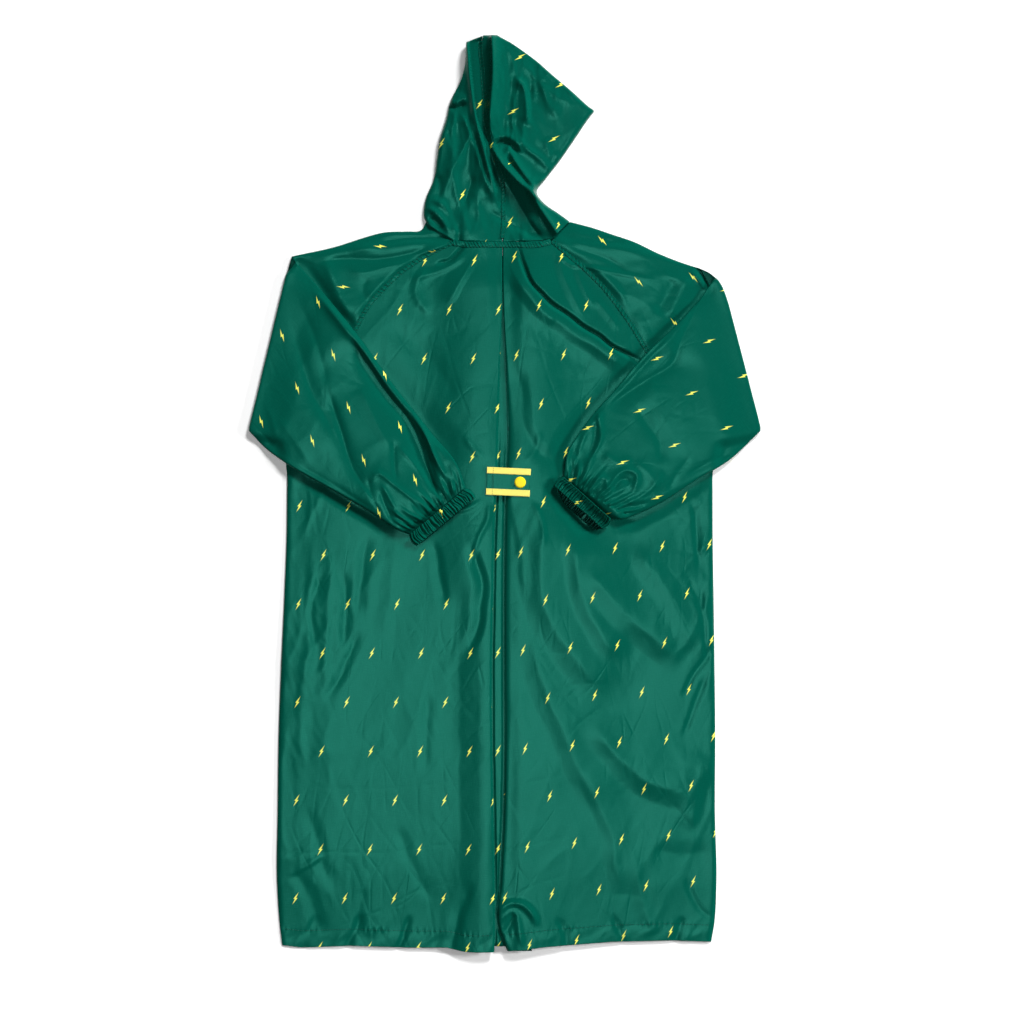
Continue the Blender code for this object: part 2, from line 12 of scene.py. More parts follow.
import bpy
import numpy as np
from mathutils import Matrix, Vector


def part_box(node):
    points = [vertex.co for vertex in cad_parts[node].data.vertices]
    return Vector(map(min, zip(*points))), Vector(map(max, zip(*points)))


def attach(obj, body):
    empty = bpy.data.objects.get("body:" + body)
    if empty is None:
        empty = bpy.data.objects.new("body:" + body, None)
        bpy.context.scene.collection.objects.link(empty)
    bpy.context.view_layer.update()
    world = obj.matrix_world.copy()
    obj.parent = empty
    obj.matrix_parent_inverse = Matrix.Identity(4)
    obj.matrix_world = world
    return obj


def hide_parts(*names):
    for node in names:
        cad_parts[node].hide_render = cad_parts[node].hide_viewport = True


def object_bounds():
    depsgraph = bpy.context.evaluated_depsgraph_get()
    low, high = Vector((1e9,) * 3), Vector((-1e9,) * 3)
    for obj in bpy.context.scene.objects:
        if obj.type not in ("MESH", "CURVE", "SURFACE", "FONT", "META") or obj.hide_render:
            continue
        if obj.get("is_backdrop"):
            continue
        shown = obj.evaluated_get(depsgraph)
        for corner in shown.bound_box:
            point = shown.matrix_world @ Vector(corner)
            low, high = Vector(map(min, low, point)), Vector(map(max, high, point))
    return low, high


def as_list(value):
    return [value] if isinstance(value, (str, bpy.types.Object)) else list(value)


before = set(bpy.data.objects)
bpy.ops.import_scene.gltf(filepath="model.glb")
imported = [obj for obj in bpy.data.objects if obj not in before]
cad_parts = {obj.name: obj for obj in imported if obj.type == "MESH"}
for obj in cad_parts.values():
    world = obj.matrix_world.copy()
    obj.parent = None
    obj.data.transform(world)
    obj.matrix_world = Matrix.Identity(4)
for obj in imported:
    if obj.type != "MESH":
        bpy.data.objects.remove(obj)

CAD_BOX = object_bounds()

MM = 0.001
CLOTH = 0.4  # thickness of the shells
STEP = 2.2  # spacing of the cloth's points
GAP = 0.35  # kept between layers
BAND_WALL = 0.25  # thickness of a seam's band
LIFT = 0.05  # of the lowest cloth above the floor


def node_box(name):
    low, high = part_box(name)
    return np.array(low) / MM, np.array(high) / MM


# Heights of the middle of each layer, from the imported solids.
TAB_LOW, TAB_HIGH = node_box("tab")
CAD_WALL = TAB_HIGH[2] - TAB_LOW[2]
FLOOR_LAYER = LIFT + CLOTH / 2
PLACKET_LAYER, UNDERLAP_LAYER, PLEAT_LAYER = (
    node_box(name)[1][2] - CAD_WALL / 2 for name in ("front_placket", "front_right", "back_pleat")
)
CENTRE_LAYER = TAB_LOW[2] - GAP - CAD_WALL / 2
RETURN_LAYER = (CENTRE_LAYER + PLEAT_LAYER) / 2
SIDE_LAYER = CAD_WALL / 2 + CAD_WALL + GAP + 0.1
# The stack under the back is full height to the first distance from the centre, and
# is down at the fronts by the second.
STACK_FULL, STACK_DOWN = 26.0, 92.0
# The same below the tab on either side: distances, and how far down the cloth is.
DOWN_LEFT = (22, 27, 49, 56, 120), (0, 0.06, 0.66, 0.73, 1)
DOWN_RIGHT = (14, 140), (0, 1)
STACK_EDGE = 39.0  # how far from the centre the pleat's layers reach
STACK_HEIGHT = 5.3  # about how far the centre stands above the sides
# The layers thin by this much towards the neck, between these heights.
NECK_DROP, NECK_LOW, NECK_HIGH = 2.6, 224.0, 262.0
NECK_SEAM = 276.0
UNDERARM = 60.0

FRONT_HEM = -499.5
FRONT_COLUMNS = 52
PLACKET_TOP = 215.0
PLACKET_HALF = 20.0
UNDERLAP_EDGE = -14.0
PLACKET_RISE = 32.0
PLEAT_HALF = 36.0
PLEAT_RETURN = 26.0
PLEAT_FOLD = 1.1  # radius of the pleat's folded edges
HEM_DEPTH = 18.5  # from the edge up to its stitches
HEM_PITCH = 5.9  # of its puckers

EDGE_SLOPE, EDGE_ROLL = 70.0, 1.2  # how the back comes down to its side seams
SLEEVE_EDGE = 2.0  # radius of a flattened sleeve's edges
SLEEVE_CLEAR = 0.5
TURN_ROWS = 11  # rows of points round the turn, between the shoulder and the forearm
SHOULDER_SCALE = 1.4  # the shoulders' creases stand this much higher than their table says
SLEEVE_EXTRA = 1.05, 1.1  # the cut's allowance for folds, round the sleeve and along it
CUFF_LENGTH = 14.5
CUFF_RIBS = 21
CUFF_WALL = 0.7
CUFF_EDGE = 2.2  # radius of a flattened cuff's edges
CUFF_EXTRA = 1.25, 1.3

STRIP_SWAY = 0.12  # how far the tab and its tapes are from flat
TAB_WALL, TAPE_WALL = 0.8, 0.55
TAPE_WIDTH = 7.0
TAPE_TURNING = 3.1  # what is turned under along a tape
SNAP_RADIUS = 6.2
SNAP_HEIGHT = 2.4
SNAP_OFFSET = 12.9
TAB_SIZE = (47.6, 30.6)
TAB_CENTRE = (TAB_LOW + TAB_HIGH)[:2] / 2
TAB_TURN = math.radians(-2.6)

# The print: one bolt every PRINT_PITCH across, in rows as far apart, each row moved
# half a pitch. BOLT is its upper spike; the lower one is the same, turned half round.
PRINT_PITCH = 54.0
BOLT = ((3.1, 6.3), (-2.2, -0.4), (0.2, -0.5))
BOLT_SHARPNESS = 3.0  # its edge fades over one part in this of a millimetre

Crease = namedtuple("Crease", "points left right height")
Grain = namedtuple("Grain", "x y degrees across lean slope bend", defaults=(1, 0, 0, 0))


def creases(*rows):
    return tuple(Crease(*row) for row in rows)



# Where one bolt of the print lies on each piece and how far the print is turned. On the
# backs its columns lean, and its rows slope, on the right back more and more downwards.
GRAINS = {
    "back_left": Grain(-60.8, 202.3, 0, 0.995, -0.010),
    "back_right": Grain(38, 206.5, 0, 1.04, 0.022, 0.009, 0.000119),
    "back_pleat": Grain(-7.2, -67.0, 0),
    "shoulder_left": Grain(-177.4, 227.3, -69),
    "forearm_left": Grain(-188.2, 152.4, 42.7),
    "shoulder_right": Grain(147.6, 233.1, 68),
    "forearm_right": Grain(206, 110.3, -45),
    "hood_left": Grain(-46.2, 328.9, -4),
    "hood_right": Grain(54.3, 390, -34),
    "hood_left_patch": Grain(-27.4, 428.6, -8),
    "hood_right_patch": Grain(6, 298.6, -2),
    "front_left": Grain(-60, 100, 0),
    "front_right": Grain(60, 100, 0),
    "cuff_left": Grain(-70, -20, 42),
    "cuff_right": Grain(80, -10, -43),
}

# Back panels from the neck down: the pleat fold, then the raglan and side seam.
BACK_LEFT = np.array((
    (-2.4, 276, -57.2, 276.5),
    (-2.4, 262, -86, 262),
    (-2.4, 245, -112.5, 244.5),
    (-2.4, 224, -134.5, 224),
    (-2.6, 206, -150, 206),
    (-3.6, 182, -163, 182),
    (-4.8, 156, -177, 156),
    (-5.5, 122, -197, 120),
    (-6.4, 86, -221, 85),
    (-7.0, 60, -239, 60),
    (-8.8, 13, -239.3, 15),
    (-11.4, -50, -240, -50),
    (-12.6, -115, -242.5, -115),
    (-13.9, -190, -246, -190),
    (-13.6, -270, -248.8, -270),
    (-12.2, -350, -249.8, -350),
    (-10.8, -425, -250.6, -425),
    (-10.6, -478, -247.6, -474),
    (-11.2, -504.5, -244.8, -497.5),
))
BACK_RIGHT = np.array((
    (-2.05, 276, 52, 278.5),
    (-2.05, 262, 72.5, 261),
    (-2.05, 244, 92, 244),
    (-1.9, 226, 109.5, 226.5),
    (-1.4, 208, 124, 208),
    (-0.6, 186, 139.5, 186),
    (1.0, 157, 157.5, 156.5),
    (2.2, 122, 182, 120),
    (3.2, 86, 208, 85),
    (3.4, 60, 228.5, 58),
    (1.8, 13, 229, 15),
    (0.2, -50, 229.2, -50),
    (-0.4, -115, 230.2, -115),
    (-0.4, -190, 231.2, -190),
    (0.0, -270, 232, -270),
    (-1.2, -350, 231.6, -350),
    (-4.6, -425, 233.4, -425),
    (-6.6, -478, 231, -474),
    (3.0, -503.5, 227.6, -493.6),
))
UNDERARM_ROW = 9
# The hem's edge from side to side, and where one panel's ends and the other's starts.
HEM_SPLIT = -7
HEM_LEFT = ((-244.8, -497.5), (-223, -500), (-170, -498), (-105, -500), (-63, -500),
            (-45, -504), (-30, -505), (-11, -504.5))
HEM_RIGHT = ((3, -503.5), (18, -502.5), (46, -499), (119, -493.5), (183, -492), (227.6, -493.6))
NECK_LINE = ((-57, 276), (-46, 274.2), (-20, 273.9), (10, 273.9), (38, 273.9), (51, 277))
FRONT_LEFT_NECK = ((-56.3, 274.2), (-46, 241), (-34, 228), (-20.35, 221))
FRONT_RIGHT_NECK = ((51.0, 275.6), (42, 241), (30, 228), (12, 221))

def beside_seam(neck, back, turn):
    """Rows from the neck to the underarm: the back's raglan seam, and the turn beside it."""
    seam = np.concatenate(((neck,), back[: UNDERARM_ROW + 1, 2:]))
    return np.concatenate((seam, np.array(turn)), axis=1)


# Each sleeve's end at the neck, and the silhouette of its turn.
LEFT_ALONG = beside_seam((-86, 298), BACK_LEFT, (
    (-236.5, 261), (-241, 243), (-245.5, 224), (-250.5, 203.5), (-255.5, 182.5), (-260.5, 161.5),
    (-265.5, 141), (-270, 122), (-274.5, 103), (-279, 85), (-282.8, 69),
))
RIGHT_ALONG = beside_seam((75, 298.5), BACK_RIGHT, (
    (217, 247.5), (231, 240.5), (239.5, 229.5), (246, 213), (251.5, 193), (257, 172),
    (262.5, 151), (268, 130), (273.5, 108.5), (279, 87.5), (283.4, 69.5),
))
# The folded-over sleeve from the turn to the cuff: overarm edge, underarm edge, puff.
LEFT_ACROSS = np.array((
    (-228, 252, -272, 62, 0.6),
    (-199, 220, -257.5, 46, 2.0),
    (-165, 178.5, -237.5, 31.5, 3.2),
    (-119.6, 116, -186, 2, 4.2),
    (-80, 66, -146, -21.5, 4.8),
    (-50, 27, -117, -40, 4.6),
    (-42.8, 5.6, -104.2, -45.2, 2.4),
))
RIGHT_ACROSS = np.array((
    (227, 227, 272, 60, 0.6),
    (192, 188, 245.3, 35, 2.4),
    (158.6, 156.5, 214, 17, 3.6),
    (123, 115.5, 174, -9, 4.4),
    (88, 74, 140, -25, 4.8),
    (68.5, 42, 127, -28.5, 4.6),
    (65, 18.5, 116.6, -27.5, 2.4),
))
# The shoulders' upper silhouette, from the neck out.
SHOULDER_LEFT_TOP = ((-84, 304), (-93, 289), (-105, 288.5), (-135, 287), (-150, 283),
                     (-184.5, 272), (-234, 261))
SHOULDER_RIGHT_TOP = ((72, 299), (95, 293), (122, 284), (140, 278), (172, 263), (201, 252),
                      (214, 248))
# The hood from the neck up: centre seam, middle, silhouette, and the face edge below.
HOOD_LEFT = np.array((
    (-2.9, 276.4, -57, 277.2, -85.5, 297, -9, 221.6),
    (-1.2, 298, -46, 299, -89, 307, -9, 240),
    (-1.2, 318, -44, 320, -86.5, 325, -11, 272),
    (-1.2, 338, -41, 341, -78.2, 345, -15, 305),
    (-9.4, 366, -43, 367, -74.5, 369, -24, 346),
    (-16, 390, -45, 390, -71.2, 391, -33, 380),
    (-21.6, 412, -44, 411, -64.4, 412, -39, 404),
    (-21.9, 434, -42, 433, -59, 433, -41, 428),
    (-23.8, 455, -37, 454, -48, 454, -38, 451),
    (-24.8, 473, -35, 472, -43.2, 473, -37, 470),
    (-26.5, 491, -35, 490, -42.6, 488, -37, 484),
    (-24, 504, -33, 500.5, -42, 496.5, -38, 492),
))
HOOD_RIGHT = np.array((
    (-2.3, 276.4, 51.2, 279.3, 71.6, 299.3, 8, 221.6),
    (-0.6, 298, 30, 303, 60.5, 307.5, 12, 240),
    (-0.6, 318, 22, 318, 43.5, 319.5, 15, 272),
    (-0.6, 338, 18, 334, 35.4, 331.5, 17, 305),
    (-8.8, 366, 18, 356, 46, 347.5, 34, 338),
    (-15.4, 390, 20, 378, 61, 367, 49, 358),
    (-21, 412, 24, 402, 79, 393, 66, 385),
    (-21.2, 429, 31, 419, 94.6, 416, 76, 401),
    (-21.3, 433, 32, 423, 98.6, 421, 80, 404),
    (-21.5, 438, 31, 428, 93.6, 425, 76, 406),
    (-23.2, 455, 24, 450, 73.7, 443, 50, 414),
    (-24.2, 473, 14, 468, 52.8, 460.6, 30, 430),
    (-25.9, 491, 4, 488, 33, 477.8, 10, 450),
    (-23.4, 504.6, -9, 504.8, 7, 496, -4, 490),
))

# The creases, one row each: the line of the crest or trough, how far it spreads to its
# left and right as seen from above when it is drawn downwards, and its height, negative
# for a trough.
BACK_CREASES = creases(
    # From the neck out across the right shoulder blade: a fold beside a deep valley.
    (((10, 276), (16, 256), (28.5, 228.5), (41, 214), (61, 197), (81, 182.5), (101, 169.5),
      (121, 155.5), (134, 148), (170, 128)), 26, 2.6, 1.6),
    (((2, 270), (10, 246), (22, 222), (35, 208), (56, 190), (76, 176), (96, 163), (116, 149),
      (150, 130)), 9, 13, 1.2),
    (((16, 282), (22, 262), (33.5, 234), (45.5, 220), (65, 203), (85, 189), (105, 176), (125, 162),
      (137, 155), (176, 138)), 2.6, 36, 1.6),
    (((14, 276), (19, 259), (31, 231), (43, 217), (63, 200), (83, 186), (103, 173), (123, 159),
      (136, 151), (172, 133)), 2.4, 2.6, -2.2),
    # Right of the neck, towards the raglan seam.
    (((62, 259), (76, 252), (92, 249)), 3, 4, 0.81),
    (((58, 272), (65, 244), (75, 218), (90, 190)), 7, 16, 0.9),
    (((80, 256), (84, 236), (92, 218), (104, 202)), 5, 12, 0.6),
    (((100, 216), (112, 200), (126, 180)), 6, 5, 0.45),
    # Left of the neck.
    (((-44, 275), (-52, 264), (-62, 255), (-78, 253)), 3, 3, -1.5),
    (((-40, 266), (-60, 250), (-84, 240), (-110, 236)), 6, 5, 0.7),
    (((-30, 268), (-44, 240), (-56, 220), (-66, 206)), 14, 5, 0.8),
    (((-84, 250), (-98, 228), (-90, 206), (-80, 196)), 6, 12, 0.7),
    (((-130, 190), (-98, 164), (-70, 132), (-50, 96)), 30, 14, -0.6),
    (((-156, 168), (-124, 126), (-96, 90), (-70, 60), (-42, 30)), 50, 19, -1.2),
    # Right of the pleat, above the tab.
    (((14, 150), (18, 110), (24, 70), (38, 48), (66, 34)), 30, 9, -1.0),
    # Beside the right sleeve the cloth dips under the sleeve's edge.
    (((172, 178), (138, 136), (112, 106), (90, 80), (68, 46), (60, 10)), 17, 30, -2.2),
    (((-262, 50), (-237, 33), (-186, 3), (-146, -20), (-112, -42)), 13, 20, -2.4),
    (((112, -32), (140, -27), (174, -9), (214, 17), (246, 36)), 13, 20, -2.4),
    (((50, 20), (64, -6), (84, -30), (104, -46)), 12, 14, -2.4),
    # Round the tab.
    (((-18, -2), (-34, -12), (-56, -18), (-74, -16)), 3, 3, 0.7),
    (((-14, -4), (-20, -30), (-32, -58), (-36, -84)), 3, 4, 0.6),
    (((22, -2), (34, -14), (42, -34), (44, -60)), 4, 3, 0.6),
    (((8, -8), (14, -40), (20, -76), (22, -120)), 5, 7, 0.35),
    (((-20, 30), (-30, 44), (-44, 66)), 4, 4, 0.4),
    (((20, 28), (34, 46), (40, 70)), 4, 4, 0.4),
    (((-40, -50), (-29, -80), (-25, -112), (-27, -138), (-36, -162), (-48, -184)), 9, 7, -1.5),
    # The bunched corner at the pleat's hem.
    (((-9, -469), (-3, -457), (6, -450), (19, -451), (30, -462), (36, -478)), 4, 5, 1.8),
    (((-9.5, -476), (-2, -466), (8, -458), (14, -470), (20, -500)), 3, 4, 0.99),
    (((0, -486), (8, -470), (12, -460)), 4, 4, -0.99),
    # Broad folds of the right side, each steep on one side only.
    (((38, -6), (41, -60), (42, -100), (47, -128), (58, -150), (74, -172), (92, -198), (112, -232)),
     20, 60, 2.4),
    (((30, -140), (35, -180), (44, -214), (56, -240), (66, -262), (78, -290), (90, -318), (108, -352)),
     15, 42, 1.5),
    (((88, -300), (106, -342), (118, -376), (123, -406), (132, -446)), 11, 32, 0.9),
    (((76, -40), (80, -84), (88, -116), (99, -142), (112, -163), (134, -186)), 13, 48, 1.7),
    (((88, -76), (116, -111), (134, -131), (151, -147), (172, -164), (200, -188)), 18, 52, 2.1),
    (((140, -54), (170, -92), (188, -122), (204, -156), (214, -180)), 15, 42, 1.4),
    (((96, -244), (120, -282), (140, -302), (158, -316), (182, -325), (222, -340)), 17, 52, 2.0),
    (((208, -2), (210, -50), (217, -96)), 4, 6, -1.2),
    (((204, -92), (210, -112), (216, -132)), 4, 4, -0.8),
    (((214, -96), (219, -136), (222, -184)), 3, 3, -1.0),
    (((230, -166), (211, -196), (194, -226)), 3, 5, -1.1),
    (((226, -198), (208, -236), (198, -270)), 4, 5, -0.9),
    (((228, -286), (213, -330), (205, -372)), 30, 9, 1.3),
    (((160, -392), (196, -397), (232, -396)), 30, 14, -0.9),
    (((200, -420), (209, -452), (230, -472)), 4, 4, -0.7),
    (((140, -380), (150, -440), (168, -490)), 10, 9, 0.4),
    # Broad folds of the left side.
    (((-150, -40), (-158, -90), (-163, -140)), 7, 9, -0.7),
    (((-178, -80), (-174, -130), (-177, -176)), 8, 7, -0.8),
    (((-158, -148), (-176, -190), (-198, -230)), 7, 7, -0.7),
    (((-202, -84), (-212, -146), (-208, -180)), 7, 6, -0.8),
    (((-118, -20), (-122, -90), (-136, -170)), 11, 11, 0.4),
    (((-78, -48), (-72, -88), (-65, -126)), 8, 6, -0.7),
    (((-190, -60), (-196, -150), (-200, -230)), 6, 7, 0.5),
    (((-212, -40), (-214, -130), (-222, -230), (-228, -330)), 7, 9, 0.5),
    (((-84, -216), (-86, -260), (-88, -310)), 8, 7, -0.4),
    (((-124, -362), (-102, -406), (-80, -452)), 8, 9, -0.4),
    (((-220, -340), (-203, -396), (-188, -440)), 9, 9, -0.5),
    (((-240, -420), (-214, -408), (-196, -396)), 4, 6, 0.68),
    (((-240, -400), (-222, -392)), 4, 4, -0.45),
    (((-238, -406), (-216, -440), (-200, -490)), 10, 10, -0.7),
    (((-152, -430), (-160, -462), (-158, -494)), 6, 7, -0.36),
    (((-36, -426), (-48, -460), (-60, -512)), 10, 6, -0.9),
    (((-182, -330), (-150, -300), (-120, -260)), 14, 15, 0.3),
    # Short folds across the hem.
    (((-206, -462), (-216, -484), (-228, -512)), 5, 7, -0.9),
    (((-156, -462), (-167, -486), (-180, -512)), 5, 7, -0.9),
    (((-102, -462), (-113, -488), (-122, -512)), 4, 5, -0.8),
    (((58, -464), (66, -488), (72, -512)), 4, 5, -0.6),
    (((118, -462), (128, -486), (136, -510)), 4, 5, -0.6),
    (((198, -464), (190, -484), (184, -508)), 4, 5, -1.0),
)

SHOULDER_LEFT_CREASES = creases(
    (((-66, 282), (-100, 276), (-136, 272), (-176, 266)), 5, 7, 1.2),
    (((-70, 278), (-104, 264), (-140, 258), (-180, 258), (-214, 252)), 6, 8, -1.7),
    (((-96, 258), (-128, 250), (-152, 244), (-176, 244)), 6, 8, 0.9),
    (((-72, 286), (-88, 283), (-100, 288)), 2.5, 3, 0.8),
    (((-200, 266), (-190, 236), (-176, 206), (-164, 190)), 8, 10, 1.3),
    (((-222, 256), (-206, 232), (-190, 210)), 7, 7, -1.3),
    (((-150, 240), (-156, 222), (-150, 208)), 8, 7, -0.6),
    (((-128, 236), (-140, 224), (-150, 214)), 4, 5, 0.6),
    (((-244, 270), (-214, 236), (-188, 206), (-150, 166)), 12, 9, -3.6),
    (((-48, 282), (-84, 281), (-112, 280), (-150, 272)), 4.5, 4.5, -2.8),
    (((-60, 290), (-90, 287), (-128, 284)), 4, 4, 1.0),
)
SHOULDER_RIGHT_CREASES = creases(
    (((62, 284), (92, 278), (130, 268), (168, 256)), 5, 8, 1.1),
    (((60, 276), (84, 268), (116, 256), (136, 244)), 5, 8, -1.1),
    (((84, 258), (100, 244), (120, 230), (134, 210)), 9, 10, 0.5),
    (((110, 246), (128, 230), (138, 206), (146, 186)), 9, 12, -0.5),
    (((188, 238), (178, 218), (166, 196)), 7, 8, -1.2),
    (((206, 240), (192, 216), (180, 190)), 6, 6, 1.3),
    (((208, 250), (215, 244), (222, 235), (229, 225), (234, 215)), 2.2, 3, -3.2),
    (((206, 246), (214, 236), (224, 222)), 4, 2.5, 1.8),
    (((150, 262), (156, 236), (150, 206)), 16, 16, 0.4),
    (((236, 244), (204, 204), (178, 176), (146, 142)), 13, 14, -3.4),
    (((50, 284), (90, 279), (116, 276), (150, 282)), 4, 5, -2.2),
)
FOREARM_LEFT_CREASES = creases(
    # Beside the overarm edge: a rolled fold with a long dark valley inside it.
    (((-224, 244), (-178, 190), (-132, 130), (-92, 78), (-56, 30)), 8, 4, 7.6),
    (((-174, 182), (-148, 138), (-128, 108), (-108, 84), (-94, 56), (-86, 32), (-76, 4), (-66, -20)),
     9, 4, -8.4),
    (((-132, 148), (-104, 98), (-84, 58), (-68, 16)), 2.6, 4, 3.4),
    (((-114, 104), (-92, 66), (-80, 30), (-74, 4)), 2.5, 4, -1.8),
    (((-96, 66), (-76, 40), (-62, 10)), 3.5, 5, 1.56),
    # Down the middle of the forearm.
    (((-244, 232), (-224, 150), (-210, 108), (-196, 84), (-178, 50), (-160, 14), (-140, -16)),
     11, 24, -2.6),
    (((-226, 214), (-204, 156), (-194, 112)), 6, 9, -0.9),
    (((-196, 120), (-180, 70), (-166, 26), (-144, -6)), 9, 6, -2.04),
    (((-196, 90), (-176, 46), (-154, 4), (-132, -22)), 8, 7, 1.56),
    (((-160, 120), (-140, 76), (-122, 44)), 10, 12, 0.96),
    (((-122, 60), (-121, 32), (-119, 14)), 3, 4, -1.44),
    (((-118, 54), (-98, 30), (-80, 2)), 4, 5, 1.32),
    (((-148, 10), (-140, 22), (-122, 10), (-100, -8), (-88, -24)), 4, 5, 1.68),
    (((-138, 6), (-130, -16), (-118, -40)), 4, 5, -1.44),
    (((-136, 12), (-126, -6), (-114, -30)), 3, 4, 1.2),
    (((-150, 20), (-146, -4), (-134, -24)), 4, 5, -1.2),
    # Along the underarm edge and in the corner.
    (((-234, 28), (-180, -4), (-140, -30), (-112, -48)), 3, 3, 0.96),
    (((-232, 34), (-180, 4), (-142, -20)), 3, 3, -0.96),
    (((-284, 74), (-268, 66), (-254, 52)), 6, 8, -1.44),
    (((-272, 110), (-258, 88), (-250, 60)), 8, 7, 1.08),
    (((-252, 86), (-232, 60), (-212, 30)), 12, 12, 0.84),
)
FOREARM_RIGHT_CREASES = creases(
    (((222, 222), (194, 170), (184, 143), (158, 126), (130, 108), (96, 84)), 5, 13, -1.9),
    (((236, 240), (186, 178), (150, 140), (116, 102), (90, 72), (66, 34)), 4, 12, 2.2),
    # Folds above the cuff on the overarm side.
    (((103, 102), (104, 78), (106, 62), (96, 40), (80, 10)), 3, 4, 2.04),
    (((101, 84), (100, 62), (92, 36)), 3, 3, -1.68),
    (((90, 76), (84, 52), (74, 26)), 4, 4, 1.32),
    (((78, 50), (80, 34), (70, 14)), 3, 3, -1.2),
    # The looped fold over the middle of the cuff.
    (((113, 0), (120, 16), (134, 26), (145, 22), (144, 8), (138, -2)), 4, 5, 2.16),
    (((118, 2), (130, 16), (140, 12)), 3, 4, -1.56),
    (((96, 10), (104, 18), (112, 16), (111, 2)), 4, 4, 1.44),
    (((108, 44), (126, 34), (142, 36)), 6, 5, 1.08),
    (((142, 36), (160, 20), (168, 4)), 5, 7, 0.96),
    (((126, -10), (152, -2), (166, 10), (174, 28)), 4, 5, 1.2),
    # Broad folds of the middle.
    (((144, 100), (158, 74), (170, 58), (170, 30)), 9, 20, -1.5),
    (((178, 0), (190, 22), (206, 42)), 4, 5, -0.8),
    (((216, 18), (190, 6), (158, -12), (132, -22)), 4, 3, 0.84),
    (((250, 46), (226, 34), (200, 20)), 3, 3, -0.84),
    (((262, 140), (246, 110), (244, 70)), 12, 12, 0.4),
)
HOOD_CREASES = creases(
    # The ridge from the crown's left corner down the left panel to the neck.
    (((-44, 536), (-41, 494), (-39, 470), (-36, 444), (-32, 416), (-25, 388), (-17, 356),
      (-9, 326), (-5, 306)), 8, 3.4, 10.0),
    # The right panel's fold over the centre seam, with its sharp left edge.
    (((-12, 546), (-14, 506), (-13, 480), (-13, 458), (-15, 430), (-16, 402), (-13, 384)),
     3.6, 13, 12.0),
    # The valley between them, where the seam lies.
    (((-28, 540), (-28, 488), (-25, 462), (-23, 438), (-22, 408), (-13, 372), (-5, 344),
      (-2, 312)), 10, 6, -6.4),
    # The left panel's second ridge, and the dark valley between it and the first.
    (((-54, 427), (-44, 412), (-37, 398), (-28, 368), (-18, 340), (-10, 318)), 8, 4, 4.4),
    (((-42, 424), (-38, 402), (-30, 382), (-22, 354), (-14, 332)), 3, 4, -4.0),
    (((-66, 400), (-58, 370), (-54, 340), (-44, 310)), 13, 12, 1.8),
    # The loop that folds over at the middle of the right panel.
    (((-18, 380), (-10, 391), (2, 392.5), (14, 385), (20, 372)), 4, 7, 4.2),
    (((-14, 379), (-8, 385.5), (1, 386), (11, 379), (15, 371)), 3, 3, -4.2),
    # Two ridges that run down to the right, past the face opening.
    (((-20, 392), (-4, 364), (10, 348), (28, 332), (46, 316)), 7.0, 9, 12.0),
    (((2, 382), (14, 362), (27, 344), (36, 332)), 3.5, 6, 5.0),
    (((0, 372), (18, 350), (33, 332)), 2.5, 3, -3.4),
    # The deep hollow at the neck.
    (((-6, 364), (4, 340), (13, 320), (26, 299), (41, 280), (62, 254)), 20, 7, -6.5),
    (((24, 344), (34, 322), (46, 304), (58, 286), (72, 262)), 8, 8, 8.0),
    (((-64, 427), (-53, 423), (-41, 430)), 3.5, 4.5, -4.4),
    (((-62, 432), (-52, 430), (-42, 438)), 4, 4, 2.4),
    (((12, 396), (24, 380), (40, 366), (54, 352)), 4, 5, 2.2),
    (((16, 346), (28, 322), (42, 302), (56, 278)), 6, 5, -2.4),
    # The right panel above the loop.
    (((10, 458), (20, 450), (24, 430), (26, 402)), 8, 3, 5.4),
    (((27, 452), (29, 430), (28, 404)), 3, 6, -2.4),
    (((4, 494), (10, 470), (18, 440)), 8, 10, 1.5),
    (((14, 480), (34, 456), (62, 434), (84, 424)), 8, 10, 1.2),
    (((34, 462), (36, 440), (32, 420)), 8, 8, -1.05),
    (((44, 392), (48, 378), (52, 366)), 4, 5, 1.65),
    (((56, 376), (58, 366)), 3, 3, 1.05),
    (((22, 378), (38, 372), (50, 362)), 5, 4, 1.5),
    (((28, 346), (38, 344), (46, 348)), 3, 4, 1.65),
    (((32, 336), (40, 338)), 2.5, 2.5, -1.2),
    (((-60, 470), (-52, 452), (-50, 436)), 4, 5, -2.2),
    (((40, 452), (48, 430), (58, 412)), 5, 7, 1.6),
    (((-34, 352), (-40, 330), (-52, 306)), 5, 6, -1.8),
    (((-20, 312), (0, 300), (24, 288), (44, 279)), 5, 6, -2.6),
    (((-76, 352), (-70, 336), (-74, 320)), 4, 5, -2.6),
    # Small folds at the left corner of the neck.
    (((-88, 316), (-76, 309), (-66, 298), (-61, 284)), 3, 4, 3.8),
    (((-84, 304), (-74, 298), (-68, 288)), 3, 3, -3.0),
    (((-82, 326), (-64, 314), (-56, 298), (-50, 282)), 4, 5, 2.8),
    (((-62, 320), (-57, 302), (-48, 286)), 3, 4, -2.6),
    (((-50, 322), (-44, 302), (-38, 284)), 6, 4, 1.6),
    (((-30, 318), (-26, 300), (-22, 284)), 6, 6, 0.9),
    (((10, 300), (16, 288), (20, 281)), 4, 4, 0.75),
)


# ---------------------------------------------------------------- curves and fields


norm = np.linalg.norm


def smooth(value):
    value = np.clip(value, 0.0, 1.0)
    return value * value * (3 - 2 * value)


def mix(a, b, share):
    return a + (b - a) * share


